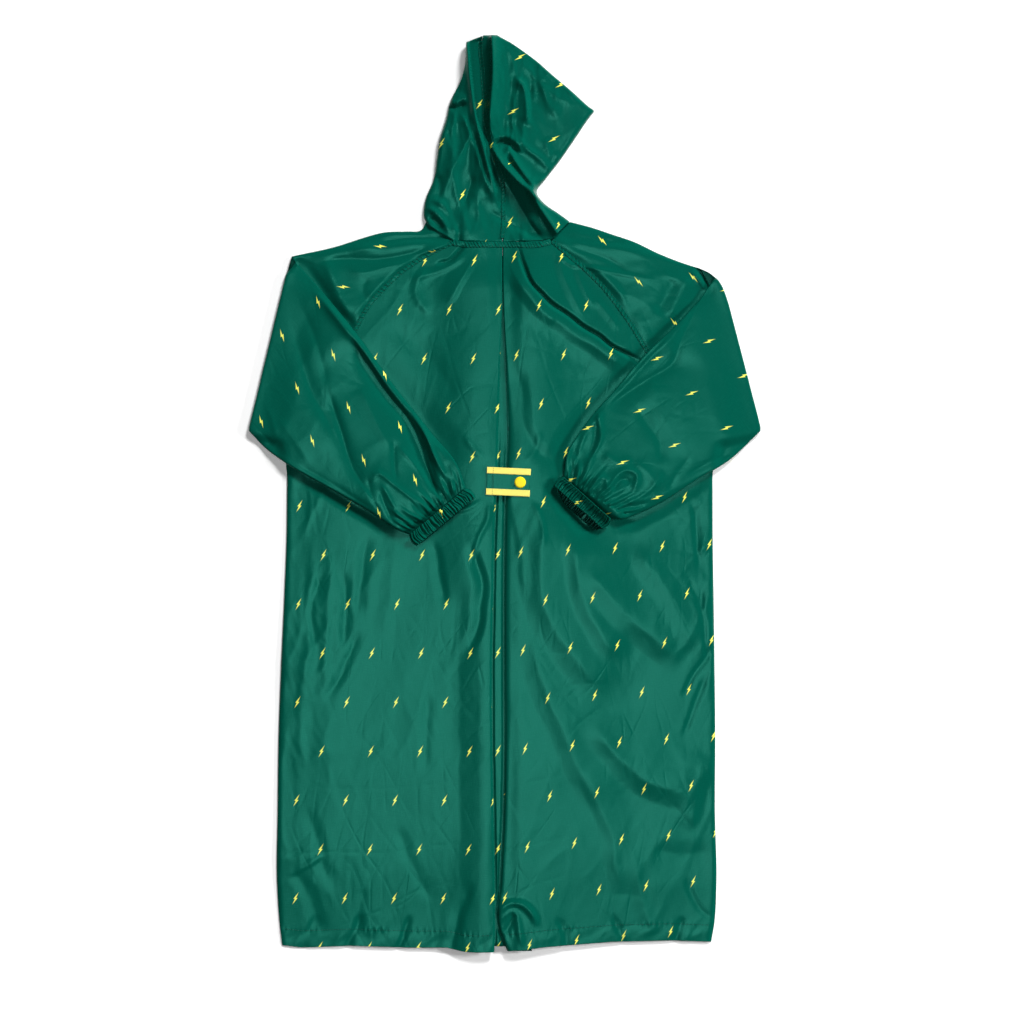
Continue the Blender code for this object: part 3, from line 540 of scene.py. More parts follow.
def curve(at, knots, values):
    """The smooth curve through these values at rising knots, read at these places."""
    at, knots, values = (np.asarray(part, float) for part in (at, knots, values))
    slopes = np.gradient(values, knots, axis=0)
    first = np.clip(np.searchsorted(knots, at) - 1, 0, len(knots) - 2)
    width = knots[first + 1] - knots[first]
    s = (at - knots[first]) / width
    if values.ndim > 1:
        s, width = s[:, None], width[:, None]
    a, b = values[first], values[first + 1]
    rise, fall = slopes[first] * width, slopes[first + 1] * width
    s2, s3 = s * s, s**3
    return (
        (2 * s3 - 3 * s2 + 1) * a + (s3 - 2 * s2 + s) * rise
        + (3 * s2 - 2 * s3) * b + (s3 - s2) * fall
    )


def rounded(distance, radius):
    """How far up a quarter round of this radius the cloth is, this far in from its foot."""
    return np.sqrt(1 - (1 - (distance / radius).clip(0, 1)) ** 2)


def shares(count, first=(), last=()):
    """Even steps from 0 to 1, with more near the ends, at these parts of a step from them."""
    near_0 = [part / count for part in first]
    near_1 = [1 - part / count for part in last]
    return np.concatenate(((0,), near_0, np.linspace(0, 1, count)[1:-1], near_1, (1,)))


def at_height(y, ys, xs):
    """Where a line is at this y, from the places of its points, which run downwards."""
    return np.interp(-y, -ys, xs)


def lengths(points):
    """Distance along a line of points, from its start."""
    steps = norm(np.diff(points, axis=0), axis=1)
    return np.concatenate(((0.0,), np.cumsum(steps)))


def smooth_line(points, step):
    """Points about this far apart on the smooth line through these."""
    points = np.asarray(points, float)
    knots = lengths(points)
    count = max(3, int(knots[-1] / step) + 1)
    return curve(np.linspace(0, knots[-1], count), knots, points)


FOLD_SCALE = 1.55  # the back's creases stand this much higher than their table says
CEILING = 21.7  # no fold of the sleeves or the hood stands higher than this
CREST = 0.10  # how round a crease's crest is, as a share of its spread


def crest(away):
    """A crease's height, from the distance from its line as a share of its spread."""
    return np.exp(1.5 * (CREST - np.sqrt(away**2 + CREST**2)))


def ramp(away):
    """The same for a crease whose sides are nearly straight down to their feet."""
    return np.clip(1 - (np.sqrt(away**2 + CREST**2) - CREST) / 1.15, 0, 1) ** 1.3


def crease_field(table, x, y, profile=crest):
    """Height that these creases add at each place."""
    height = np.zeros_like(x)
    for crease in table:
        line = smooth_line(crease.points, 6.0)
        reach = 3 * max(crease.left, crease.right)
        low, high = line.min(0) - reach, line.max(0) + reach
        near = (x > low[0]) & (x < high[0]) & (y > low[1]) & (y < high[1])
        if not near.any():
            continue
        px, py = x[near][:, None], y[near][:, None]
        start, run = line[:-1], np.diff(line, axis=0)
        size = np.hypot(run[:, 0], run[:, 1])
        share = ((px - start[:, 0]) * run[:, 0] + (py - start[:, 1]) * run[:, 1]) / size**2
        share = np.clip(share, 0, 1)
        dx = px - start[:, 0] - share * run[:, 0]
        dy = py - start[:, 1] - share * run[:, 1]
        best = np.argmin(dx * dx + dy * dy, axis=1)
        pick = np.arange(len(best))
        dx, dy, share = dx[pick, best], dy[pick, best], share[pick, best]
        side = run[best, 0] * dy - run[best, 1] * dx
        along = (lengths(line)[best] + share * size[best]) / size.sum()
        spread = np.where(side > 0, crease.right, crease.left)
        body = profile(np.sqrt(dx * dx + dy * dy) / spread)
        ends = smooth(np.minimum(along, 1 - along) / 0.22)
        height[near] += crease.height * body * ends
    return height


def noise(x, y, size, seed, degrees=0.0, stretch=1.0):
    """Smooth gradient noise from about -1 to 1, its forms this size, longer along the angle."""
    c, s = math.cos(math.radians(degrees)), math.sin(math.radians(degrees))
    u = (x * c + y * s) / (size * stretch)
    v = (y * c - x * s) / size
    turns = np.random.default_rng(seed).uniform(0, 2 * math.pi, (64, 64))
    iu, iv = np.floor(u).astype(int), np.floor(v).astype(int)
    fu, fv = u - iu, v - iv

    def corner(du, dv):
        turn = turns[(iu + du) % 64, (iv + dv) % 64]
        return np.cos(turn) * (fu - du) + np.sin(turn) * (fv - dv)

    wu, wv = smooth(fu), smooth(fv)
    low = mix(corner(0, 0), corner(1, 0), wu)
    high = mix(corner(0, 1), corner(1, 1), wu)
    return 1.5 * mix(low, high, wv)


def crinkle(x, y, seed, degrees, strength):
    """The fine sharp wrinkles of crisp nylon: ridges where warped noise crosses zero."""
    warp_x = x + 7 * noise(x, y, 60, seed) + 1.5 * noise(x, y, 17, seed + 1)
    warp_y = y + 7 * noise(x, y, 60, seed + 2) + 1.5 * noise(x, y, 17, seed + 3)
    total = 0.0
    for size, height, extra in ((42, 1.0, 4), (21, 0.5, 5), (10, 0.2, 6)):
        turn = degrees + 24 * (extra - 5)
        fold = 1 - 2 * np.abs(noise(warp_x, warp_y, size, seed + extra, turn, 3.6))
        total = total + height * fold * np.abs(fold)
    patches = smooth(0.55 + 0.9 * noise(x, y, 90, seed + 7))
    return strength * total * (0.25 + patches)


def soft_floor(height, least, soft=0.5):
    """Height kept above a least one, with a soft corner."""
    over = (height - least) / soft
    return least + soft * np.where(over > 20, over, np.log1p(np.exp(np.minimum(over, 20))))


def below_ceiling(height):
    return CEILING - soft_floor(CEILING - height, 0.0, 0.4)


def inside(corners, x, y):
    """Distance inside a convex outline that is given anticlockwise; negative outside."""
    best = np.full_like(x, 1e9)
    for (x0, y0), (x1, y1) in zip(corners, corners[1:] + corners[:1]):
        run = math.hypot(x1 - x0, y1 - y0)
        best = np.minimum(best, ((x1 - x0) * (y - y0) - (y1 - y0) * (x - x0)) / run)
    return best


FOREARM_LEFT_OUTLINE = ((-236, 258), (-284, 69), (-259, 45), (-92, -59), (-35, -9), (-42, 11))
FOREARM_RIGHT_OUTLINE = ((54, 2), (99, -42), (266, 54), (283, 69), (229, 227), (68, 21))


def under_sleeves(x, y):
    """1 well under either folded forearm, where the cloth below lies quiet, and 0 outside."""
    deep = np.maximum(inside(FOREARM_LEFT_OUTLINE, x, y), inside(FOREARM_RIGHT_OUTLINE, x, y))
    return smooth(deep / 26)


def neck_drop(y):
    """How much lower the layers lie towards the neck."""
    return NECK_DROP * smooth((y - NECK_LOW) / (NECK_HIGH - NECK_LOW))


def come_down(x, y):
    """How far the cloth has come down from the layers at the centre, 1 at the sides."""
    reach = np.abs(x) + 3.0 * noise(0, y, 70, 18) + 1.2 * noise(0, y, 21, 19)
    share = smooth((reach - STACK_FULL) / (STACK_DOWN - STACK_FULL))
    # Below the tab either side comes down along its own line.
    left = np.interp(reach, *DOWN_LEFT)
    right = np.interp(reach, *DOWN_RIGHT)
    lower_left = smooth((-90 - y) / 40) * (1 - 0.4 * smooth((-320 - y) / 120)) * (x < 0)
    share = mix(share, left, lower_left)
    return mix(share, right, smooth((-10 - y) / 60) * (x > 0))


def back_surface(x, y):
    """The middle of the back's cloth: the mound of layers under it, and its folds."""
    kept = 1 - neck_drop(y) / STACK_HEIGHT
    rise = (CENTRE_LAYER - SIDE_LAYER) * kept
    mound = SIDE_LAYER + rise * (1 - come_down(x, y))
    stack = 1 - smooth((np.abs(x) - STACK_EDGE) / 24)
    least = SIDE_LAYER + 0.1 + (rise - 0.5) * stack
    near_pleat = smooth(1.3 - np.abs(x) / 16)
    puff = 1.1 + 1.0 * noise(x, y, 120, 3, 80, 1.3) + 0.5 * noise(x, y, 55, 9, 75, 1.8)
    side = smooth((np.abs(x) - 175) / 50)
    bent_x, bent_y = x + 2.2 * noise(x, y, 28, 15), y + 2.2 * noise(x, y, 28, 16)
    folds = FOLD_SCALE * crease_field(BACK_CREASES, bent_x, bent_y, ramp)
    folds += crinkle(x, y, 20, 84, 0.22 + 1.1 * side) * (1 - 0.7 * near_pleat)
    folds += puff * (1 - near_pleat)
    folds = mix(folds, 0.6, smooth((inside(tab_corners(10), x, y) + 6) / 14))
    quiet = 1 - 0.92 * under_sleeves(x, y)
    return soft_floor(mound + 1.5 + folds * quiet, least, 0.35)


def tab_place(along, up):
    """The place on the jacket of a place on the tab, measured from the tab's centre."""
    c, s = math.cos(TAB_TURN), math.sin(TAB_TURN)
    return TAB_CENTRE[0] + c * along - s * up, TAB_CENTRE[1] + s * along + c * up


def tab_corners(margin):
    half_x, half_y = TAB_SIZE[0] / 2 + margin, TAB_SIZE[1] / 2 + margin
    corners = ((-half_x, -half_y), (half_x, -half_y), (half_x, half_y), (-half_x, half_y))
    return tuple(tab_place(*corner) for corner in corners)


# ---------------------------------------------------------------- laid cloth below


class Ground:
    """The top of what is already laid, on a grid of cells, so that cloth can lie on it."""

    CELL = 2.0
    LOW = -340.0, -560.0
    SHAPE = 340, 560

    def __init__(self):
        self.top = np.full(self.SHAPE, -1e3)
        self.ready = None

    def lay(self, points):
        points = points.reshape(-1, 3)
        i = ((points[:, 0] - self.LOW[0]) / self.CELL).astype(int)
        j = ((points[:, 1] - self.LOW[1]) / self.CELL).astype(int)
        np.maximum.at(self.top, (i, j), points[:, 2] + CLOTH / 2)
        self.ready = None

    @staticmethod
    def spread(field, pick):
        padded = np.pad(field, 1, mode="edge")
        near = [
            padded[1 + i : padded.shape[0] - 1 + i, 1 + j : padded.shape[1] - 1 + j]
            for i in (-1, 0, 1) for j in (-1, 0, 1)
        ]
        return pick(near, axis=0)

    def height(self, x, y):
        if self.ready is None:
            field = np.maximum(self.top, 0.0)
            for pick in (np.max, np.max, np.mean, np.mean, np.mean):
                field = self.spread(field, pick)
            self.ready = field
        u = np.clip((x - self.LOW[0]) / self.CELL - 0.5, 0, self.SHAPE[0] - 1.001)
        v = np.clip((y - self.LOW[1]) / self.CELL - 0.5, 0, self.SHAPE[1] - 1.001)
        i, j = u.astype(int), v.astype(int)
        fu, fv = u - i, v - j
        low = mix(self.ready[i, j], self.ready[i + 1, j], fu)
        high = mix(self.ready[i, j + 1], self.ready[i + 1, j + 1], fu)
        return mix(low, high, fv)


GROUND = Ground()


# ---------------------------------------------------------------- meshes


def printed(grain, x, y):
    """Places on the flat cloth, in the print's own frame, of these places on the jacket."""
    grain = GRAINS[grain]
    c, s = math.cos(math.radians(grain.degrees)), math.sin(math.radians(grain.degrees))
    dx, dy = x - grain.x, y - grain.y
    u, v = dx * c + dy * s, dy * c - dx * s
    return np.stack(((u + grain.lean * v) * grain.across, v - (grain.slope - grain.bend * v) * u), -1)


def corners_of(flat):
    """The four corners of each of the grid's faces, from a value at each of its points."""
    return np.stack((flat[:-1, :-1], flat[:-1, 1:], flat[1:, 1:], flat[1:, :-1]), axis=2)


CUTS = {}  # the width, length and area of each piece's flat cloth


def cut_of(corners):
    """Width, length and area of the flat cloth, without the faces where the print's lie jumps."""
    whole = np.ptp(corners, axis=1).max(1) < 20
    corners = corners[whole]
    a, b = corners[:, 2] - corners[:, 0], corners[:, 3] - corners[:, 1]
    area = np.abs(a[:, 0] * b[:, 1] - a[:, 1] * b[:, 0]).sum() / 2
    return (*np.ptp(corners.reshape(-1, 2), axis=0), area)


def add_object(name, data):
    obj = bpy.data.objects.new(name, data)
    bpy.context.scene.collection.objects.link(obj)
    return obj


def grid_mesh(name, points, corners, skins, ring=False, up=True, wall=CLOTH):
    """A cloth shell from a grid of points. up says that the first rows' cloth faces up."""
    rows, columns = points.shape[:2]
    index = np.arange(rows * columns).reshape(rows, columns)
    if ring:
        index = np.concatenate((index, index[:, :1]), axis=1)
    faces, corners = corners_of(index).reshape(-1, 4), corners.reshape(-1, 4, 2)
    CUTS[name] = cut_of(corners)
    flat_points = points.reshape(-1, 3)
    row, column = rows // 12, columns // 5
    here = points[row, column]
    across, down = points[row, column + 1] - here, points[row + 1, column] - here
    if (np.cross(across, down)[2] > 0) != up:
        faces, corners = faces[:, ::-1], corners[:, ::-1]
    mesh = bpy.data.meshes.new(name)
    mesh.vertices.add(len(flat_points))
    mesh.vertices.foreach_set("co", (flat_points * MM).ravel())
    mesh.loops.add(faces.size)
    mesh.loops.foreach_set("vertex_index", faces.ravel())
    mesh.polygons.add(len(faces))
    mesh.polygons.foreach_set("loop_start", np.arange(0, faces.size, 4))
    mesh.update(calc_edges=True)
    layer = mesh.uv_layers.new(name="cloth")
    layer.data.foreach_set("uv", (corners * MM).ravel())
    mesh.validate()
    mesh.shade_smooth()
    for skin in skins:
        mesh.materials.append(skin)
    obj = add_object(name, mesh)
    shell = obj.modifiers.new("wall", "SOLIDIFY")
    shell.thickness = wall * MM
    shell.offset = 0.0
    if len(skins) > 1:
        shell.material_offset = 1
    return obj


def panel(node, grain, points, ring=False, **more):
    """The shell shown for a node, with the print where its points lie on the jacket."""
    flat = printed(grain, points[..., 0], points[..., 1])
    if ring:
        flat = np.concatenate((flat, flat[:, :1]), axis=1)
    return grid_mesh(shown(node), points, corners_of(flat), CLOTH_SKINS, ring, **more)


def solid(name, verts, faces, skin):
    """A piece from points in millimetres and faces of any size."""
    mesh = bpy.data.meshes.new(name)
    mesh.from_pydata((np.asarray(verts) * MM).tolist(), [], faces)
    mesh.validate()
    mesh.shade_smooth()
    mesh.materials.append(skin)
    return add_object(name, mesh)


def stitches(name, lines, skin, pitch=3.0, length=2.1, radius=0.3):
    """Rows of machine stitches, each a small spindle that lies on its line."""
    verts, faces = [], []
    ring = [(math.cos(k * math.pi / 2), math.sin(k * math.pi / 2)) for k in range(4)]
    for line in lines:
        along = lengths(line)
        for at in np.arange(pitch / 2, along[-1] - pitch / 2, pitch):
            ends = [at - length / 2, at - length / 4, at + length / 4, at + length / 2]
            spots = np.stack([np.interp(ends, along, line[:, k]) for k in range(3)], axis=1)
            run = spots[3] - spots[0]
            run /= norm(run)
            side = np.array((-run[1], run[0], 0.0))
            up = np.cross(run, side)
            first = len(verts)
            verts.append(spots[0])
            for spot in spots[1:3]:
                verts += [spot + radius * (a * side + b * up) for a, b in ring]
            verts.append(spots[3])
            for k in range(4):
                j = (k + 1) % 4
                faces += [
                    (first, first + 1 + j, first + 1 + k),
                    (first + 1 + k, first + 1 + j, first + 5 + j, first + 5 + k),
                    (first + 9, first + 5 + k, first + 5 + j),
                ]
    return solid(name, verts, faces, skin)


def band(name, line, surface, grain, skin, width, lift, pucker, seed, pitch=5.0):
    """A stitched-down seam: a narrow raised strip along a line, gathered into puckers."""
    across = np.array((-0.5, -0.44, -0.34, -0.2, 0, 0.2, 0.34, 0.44, 0.5))
    run = np.gradient(line, axis=0)
    run /= norm(run, axis=1)[:, None]
    side = np.stack((-run[:, 1], run[:, 0]), axis=1)
    flat = line[:, None] + side[:, None] * (across * width)[None, :, None]
    x, y = flat[..., 0], flat[..., 1]
    along = lengths(line)[:, None] + 1.6 * across * width * 0.35
    wander = along + 2.2 * noise(along, 0, 11, seed)
    wave = np.sin(wander * 2 * math.pi / pitch) * (0.55 + 0.6 * noise(along, 0, 17, seed + 1))
    shape = np.array((0, 0.9, 0.55, 1, 0.9, 1, 0.55, 0.9, 0))
    z = surface(x, y) + CLOTH / 2 + 0.05 + lift * shape + pucker * wave * shape
    z = np.maximum(z, surface(x, y) - 0.1)
    points = np.stack((x, y, z), axis=-1)
    obj = grid_mesh(name, points, corners_of(printed(grain, x, y)), (skin,), wall=BAND_WALL)
    # Its stitches lie in its two grooves.
    rows = [points[:, k] + (0, 0, 0.16) for k in (2, 6)]
    return place(obj), rows


def shown(node):
    """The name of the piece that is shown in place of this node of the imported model."""
    return f"{node}_shown"


def place(obj):
    """Rides the root body, and takes the place of its node, if it has one."""
    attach(obj, "root")
    if obj.name.endswith("_shown"):
        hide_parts(obj.name.removesuffix("_shown"))
    return obj


def declare(obj, with_pieces=(), size=None):
    """Works out the cut area of a cloth piece, a tube's from its size all round, and keeps nothing of
    it.
    """
    width, length, area = CUTS[obj.name]
    width, length = size or (width, length)
    min(area, width * length) * MM**2
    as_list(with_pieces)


# ---------------------------------------------------------------- materials


GREEN_DARK = (0.0003, 0.067, 0.0445, 1)
GREEN_LIGHT = (0.0004, 0.078, 0.0520, 1)
GREEN_THREAD = (0.0010, 0.088, 0.0580, 1)
# Near-black painted shade for the shells' inner side.
GREEN_PAINTED_SHADE = (0.0, 0.004, 0.003, 1)
GREEN_SHEEN = (0.16, 1.0, 0.76, 1)
NYLON_ROUGHNESS = 0.27
ROUGHNESS_SPREAD = 0.06
WEAVE = 120, 1900  # scales of the noise along and across a thread
WEAVE_DEPTH = 0.00006
# Sets of fine crumple lines: their direction, and their noise's scales.
CRUMPLE_LINES = ((4, 30, 6), (-24, 22, 5), (34, 26, 6), (80, 14, 5))
CRUMPLE_WIDTH = 0.035  # as a part of the noise's range
CRUMPLE_DEPTH = 0.00013
BOLT_YELLOW = (0.84, 0.84, 0.13, 1)
THREAD_DARK, THREAD_LIGHT = (0.0005, 0.020, 0.013, 1), (0.002, 0.050, 0.032, 1)
TAPE_DARK, TAPE_LIGHT = (0.86, 0.74, 0.13, 1), (0.96, 0.86, 0.20, 1)
TAPE_RIB = 0.0011
SNAP_DARK, SNAP_LIGHT = (0.84, 0.68, 0.008, 1), (0.89, 0.73, 0.014, 1)
FLOOR_DARK, FLOOR_LIGHT = (0.955, 0.955, 0.955, 1), (0.97, 0.97, 0.97, 1)
WHITE = (1, 1, 1, 1)


class Nodes:
    """A short way to write a material's node tree."""

    def __init__(self, name):
        self.material = bpy.data.materials.new(name)
        self.material.use_nodes = True
        self.tree = self.material.node_tree
        self.shader = self.tree.nodes["Principled BSDF"]

    def feed(self, socket, value):
        """Links a value that comes from another node, and sets any other."""
        if isinstance(value, bpy.types.NodeSocket):
            self.tree.links.new(value, socket)
        else:
            socket.default_value = value

    def add(self, kind, inputs=(), **settings):
        node = self.tree.nodes.new(kind)
        for key, value in settings.items():
            setattr(node, key, value)
        for key, value in dict(inputs).items():
            self.feed(node.inputs[key], value)
        return node

    def math(self, operation, *values, clamp=False):
        settings = {"operation": operation, "use_clamp": clamp}
        return self.add("ShaderNodeMath", enumerate(values), **settings).outputs[0]

    def vector(self, operation, a, b):
        return self.add("ShaderNodeVectorMath", {0: a, 1: b}, operation=operation)

    def mix(self, share, a, b):
        return self.add("ShaderNodeMix", {0: share, 6: a, 7: b}, data_type="RGBA").outputs[2]

    def noise(self, where, scale, detail=2.0):
        inputs = {"Vector": where, "Scale": scale, "Detail": detail}
        return self.add("ShaderNodeTexNoise", inputs).outputs[0]

    def stretched_noise(self, where, scale_x, scale_y, detail=1.0):
        stretched = self.vector("MULTIPLY", where, (scale_x, scale_y, 1))
        return self.noise(stretched.outputs[0], 1.0, detail)

    def flat_cloth(self):
        """Places on the flat cloth, in metres."""
        return self.add("ShaderNodeUVMap", uv_map="cloth").outputs[0]

    def object_places(self):
        return self.add("ShaderNodeTexCoord").outputs["Object"]

    def set(self, **values):
        for key, value in values.items():
            self.feed(self.shader.inputs[key.replace("_", " ")], value)

    def bump(self, height, distance, strength=1.0, under=None):
        inputs = {"Height": height, "Distance": distance, "Strength": strength}
        if under is not None:
            inputs["Normal"] = under
        return self.add("ShaderNodeBump", inputs).outputs[0]


def bolt_mask(nodes, where):
    """1 on the printed bolts, from places on the flat cloth in metres."""
    split = nodes.add("ShaderNodeSeparateXYZ", {0: where})
    u = nodes.math("DIVIDE", split.outputs[0], MM)
    v = nodes.math("DIVIDE", split.outputs[1], MM)
    half = PRINT_PITCH / 2
    row = nodes.math("FLOOR", nodes.math("DIVIDE", nodes.math("ADD", v, half), PRINT_PITCH))
    odd = nodes.math("FLOORED_MODULO", row, 2.0)
    shifted = nodes.math("MULTIPLY_ADD", odd, half, u)
    local_u = nodes.math("WRAP", shifted, half, -half)
    local_v = nodes.math("WRAP", v, half, -half)
    local = nodes.add("ShaderNodeCombineXYZ", {0: local_u, 1: local_v, 2: 1.0})
    spikes = []
    for sign in (1, -1):
        nearest = None
        for (x0, y0), (x1, y1) in zip(BOLT, BOLT[1:] + BOLT[:1]):
            size = math.hypot(x1 - x0, y1 - y0)
            a, b = (y0 - y1) / size, (x1 - x0) / size
            edge = (sign * a, sign * b, -a * x0 - b * y0)
            far = nodes.vector("DOT_PRODUCT", local.outputs[0], edge).outputs["Value"]
            nearest = far if nearest is None else nodes.math("MINIMUM", nearest, far)
        spikes.append(nearest)
    deepest = nodes.math("MAXIMUM", *spikes)
    return nodes.math("MULTIPLY_ADD", deepest, BOLT_SHARPNESS, 0.5, clamp=True)


def nylon(name, with_print, painted_shade=0.0):
    """Thin coated taffeta: a semi-gloss green with a fine weave and crumple, and its print; the last
    argument darkens it towards near black, as painted shade.
    """
    nodes = Nodes(name)
    where = nodes.flat_cloth()
    slow = nodes.noise(where, 14.0)
    warp = nodes.stretched_noise(where, *WEAVE)
    weft = nodes.stretched_noise(where, *WEAVE[::-1])
    thread = nodes.math("MULTIPLY", nodes.math("ADD", warp, weft), 0.5)
    green = nodes.mix(slow, GREEN_DARK, GREEN_LIGHT)
    green = nodes.mix(nodes.math("MULTIPLY", thread, 0.35), green, GREEN_THREAD)
    if with_print:
        green = nodes.mix(bolt_mask(nodes, where), green, BOLT_YELLOW)
    # Painted shade: the colour is mixed towards near black.
    if painted_shade > 0:
        green = nodes.mix(painted_shade, green, GREEN_PAINTED_SHADE)
    smoothest = NYLON_ROUGHNESS - ROUGHNESS_SPREAD
    roughness = nodes.math("MULTIPLY_ADD", thread, 2 * ROUGHNESS_SPREAD, smoothest)
    patches = nodes.math("MULTIPLY_ADD", nodes.noise(where, 9.0, 1.0), 3.0, -1.0, clamp=True)
    lines = 1.0
    for degrees, across, along in CRUMPLE_LINES:
        inputs = {"Vector": where, "Angle": math.radians(degrees)}
        turned = nodes.add("ShaderNodeVectorRotate", inputs, rotation_type="Z_AXIS")
        field = nodes.stretched_noise(turned.outputs[0], across, along)
        away = nodes.math("ABSOLUTE", nodes.math("SUBTRACT", field, 0.5))
        groove = nodes.math("DIVIDE", away, CRUMPLE_WIDTH, clamp=True)
        lines = nodes.math("MULTIPLY", lines, groove)
    creased = nodes.bump(nodes.math("MULTIPLY", lines, patches), CRUMPLE_DEPTH)
    woven = nodes.bump(thread, WEAVE_DEPTH, 1.0, creased)
    nodes.set(
        Base_Color=green, Roughness=roughness, Normal=woven, Specular_Tint=GREEN_SHEEN,
        IOR=1.5, Specular_IOR_Level=0.16,
    )
    return nodes.material


def thread_skin():
    nodes = Nodes("thread")
    twist = nodes.noise(nodes.object_places(), 2600.0)
    nodes.set(
        Base_Color=nodes.mix(twist, THREAD_DARK, THREAD_LIGHT), Roughness=0.55,
        Normal=nodes.bump(twist, 0.0001),
    )
    return nodes.material


def tape_skin():
    """Pale yellow woven tape, with a fine rib along it."""
    nodes = Nodes("yellow_tape")
    where = nodes.flat_cloth()
    split = nodes.add("ShaderNodeSeparateXYZ", {0: where})
    ribs = nodes.math("SINE", nodes.math("MULTIPLY", split.outputs[1], 2 * math.pi / TAPE_RIB))
    ribs = nodes.math("MULTIPLY_ADD", ribs, 0.5, 0.5)
    grain = nodes.stretched_noise(where, 300, 2600, 2.0)
    both = nodes.math("MULTIPLY", nodes.math("ADD", ribs, grain), 0.5)
    nodes.set(
        Base_Color=nodes.mix(both, TAPE_DARK, TAPE_LIGHT), Roughness=0.7,
        Normal=nodes.bump(both, 0.00025), Sheen_Weight=0.2, Sheen_Roughness=0.5,
    )
    return nodes.material


def snap_skin():
    nodes = Nodes("yellow_snap")
    scuff = nodes.noise(nodes.object_places(), 900.0, 3.0)
    nodes.set(
        Base_Color=nodes.mix(scuff, SNAP_DARK, SNAP_LIGHT),
        Roughness=nodes.math("MULTIPLY_ADD", scuff, 0.12, 0.42),
        Normal=nodes.bump(scuff, 0.00002), Specular_IOR_Level=0.2,
    )
    return nodes.material


OUTSIDE = nylon("green_nylon", True)
PLAIN = nylon("green_nylon_plain", False)
# The shells' inner side is painted near black, a painted shade that shows only in the mouths of the
# cuffs.
INSIDE_PAINTED_SHADE = nylon("green_nylon_inside_painted_shade", False, 0.8)
THREAD = thread_skin()
TAPE = tape_skin()
SNAP = snap_skin()
# The second skin, on the shells' inner side, carries painted shade.
CLOTH_SKINS = (OUTSIDE, INSIDE_PAINTED_SHADE)


# ---------------------------------------------------------------- the body


def row_places(table, step):
    """The table's rows, refined to this spacing down the panel and closer at its hem."""
    knots = lengths((table[:, :2] + table[:, 2:4]) / 2)
    at = np.arange(0, knots[-1] - step / 2, step)
    last = knots[-1] - np.array((0.9, 0.25, 0))
    return curve(np.concatenate((at, last)), knots, table)


def edge_distance(x, y):
    """How far in from the nearer side seam a place on the lower body is."""
    down = slice(UNDERARM_ROW, None)
    left = at_height(y, BACK_LEFT[down, 3], BACK_LEFT[down, 2])
    right = at_height(y, BACK_RIGHT[down, 3], BACK_RIGHT[down, 2])
    return np.maximum(np.where(x < 0, x - left, right - x), 0)


def hem_line(x):
    left, right = np.array(HEM_LEFT), np.array(HEM_RIGHT)
    return np.where(x < HEM_SPLIT, np.interp(x, *left.T), np.interp(x, *right.T))


def back_top(x, y):
    """The back's cloth with its side edges rolled down, its hem and its neck seam."""
    z = back_surface(x, y)
    low = CAD_WALL / 2 + CLOTH + 0.15
    inward = edge_distance(x, y)
    roll = (0.6 + 0.4 * smooth(inward / EDGE_SLOPE)) * (1 - np.exp(-inward / EDGE_ROLL))
    rolled = mix(z, low + (z - low) * roll, smooth((UNDERARM - y) / 20))
    z = np.where(y < UNDERARM, rolled, z)
    above = y - hem_line(x)
    # Beside the pleat the cloth settles towards the hem.
    settle = smooth(1 - above / 110) * smooth((np.abs(x) - 40) / 40)
    z = soft_floor(z - 1.4 * settle, low, 0.3)
    # Puckers lie along the hem's stitches, and wedges between them and the edge.
    pucker = np.sin(x * 2 * math.pi / HEM_PITCH + 3.5 * noise(x, y, 23, 71))
    pucker = pucker * (0.5 + 0.7 * noise(x, y, 26, 72))
    z += 1.1 * pucker * np.exp(-((above - HEM_DEPTH) / 2.2) ** 2)
    wedge = 0.65 - 2 * np.abs(noise(x, y, 17, 73, 62, 2.2))
    z += 0.7 * wedge * np.exp(-(((above - 9) / 7) ** 2))
    z -= 0.08 * np.exp(-above.clip(0) / 0.9)
    return z


def back_panel(name, table, outward):
    """A back panel from its side edge to the pleat fold, and its return underneath."""
    rows = row_places(table, STEP)
    inner, side = rows[:, None, :2], rows[:, None, 2:]
    fold_in = PLEAT_FOLD + CLOTH / 2
    share = shares(int(abs(table[:, 2]).max() / STEP), (0.25, 0.6), (0.5, 0.15))[None, :]
    x = mix(side[..., 0], inner[..., 0] + outward * fold_in, share)
    y = mix(side[..., 1], inner[..., 1], share)
    straight = mix(table[-1, 3], table[-1, 1], share)
    y = y + (hem_line(x) - straight) * smooth((y + 440) / -50)
    z = back_top(x, y)
    z = z - 0.5 * np.exp((y - NECK_SEAM) / 1.6).clip(0, 1)
    # Over the open pleat the left panel's edge turns tightly and the right one's rolls away.
    open_pleat = smooth((170 - y) / 110)
    roll, drop = (0.5, 0.4) if outward < 0 else (3.0 + 3.6 * smooth((300 + y) / 60), 2.2)
    from_fold = (x - x[:, -1:]) * outward
    z = z - drop * open_pleat * (1 - rounded(from_fold, 1.0 + (roll - 1.0) * open_pleat))
    under = RETURN_LAYER - neck_drop(inner[..., 1])
    top, fold_x, fold_y = z[:, -1:], x[:, -1:], y[:, -1:]
    angle = np.linspace(0, math.pi, 9)[None, 1:]
    turn_x = fold_x - outward * PLEAT_FOLD * np.sin(angle)
    turn_z = mix(top, under, (1 - np.cos(angle)) / 2)
    reach = np.linspace(0, PLEAT_RETURN, 8)[None, 1:]
    back_x = fold_x + outward * reach
    points = np.stack((
        np.concatenate((x, turn_x, back_x), axis=1),
        np.concatenate((y, np.repeat(fold_y, angle.size + reach.size, axis=1)), axis=1),
        np.concatenate((z, turn_z, np.repeat(under, reach.size, axis=1)), axis=1),
    ), axis=-1)
    arc = (top - under) / 2 * angle
    beyond = (top - under) / 2 * math.pi + reach
    flat_x = np.concatenate((x, fold_x - outward * arc, fold_x - outward * beyond), axis=1)
    flat = printed(name, flat_x, points[..., 1])
    GROUND.lay(points[:, : share.size])
    return grid_mesh(shown(name), points, corners_of(flat), CLOTH_SKINS)


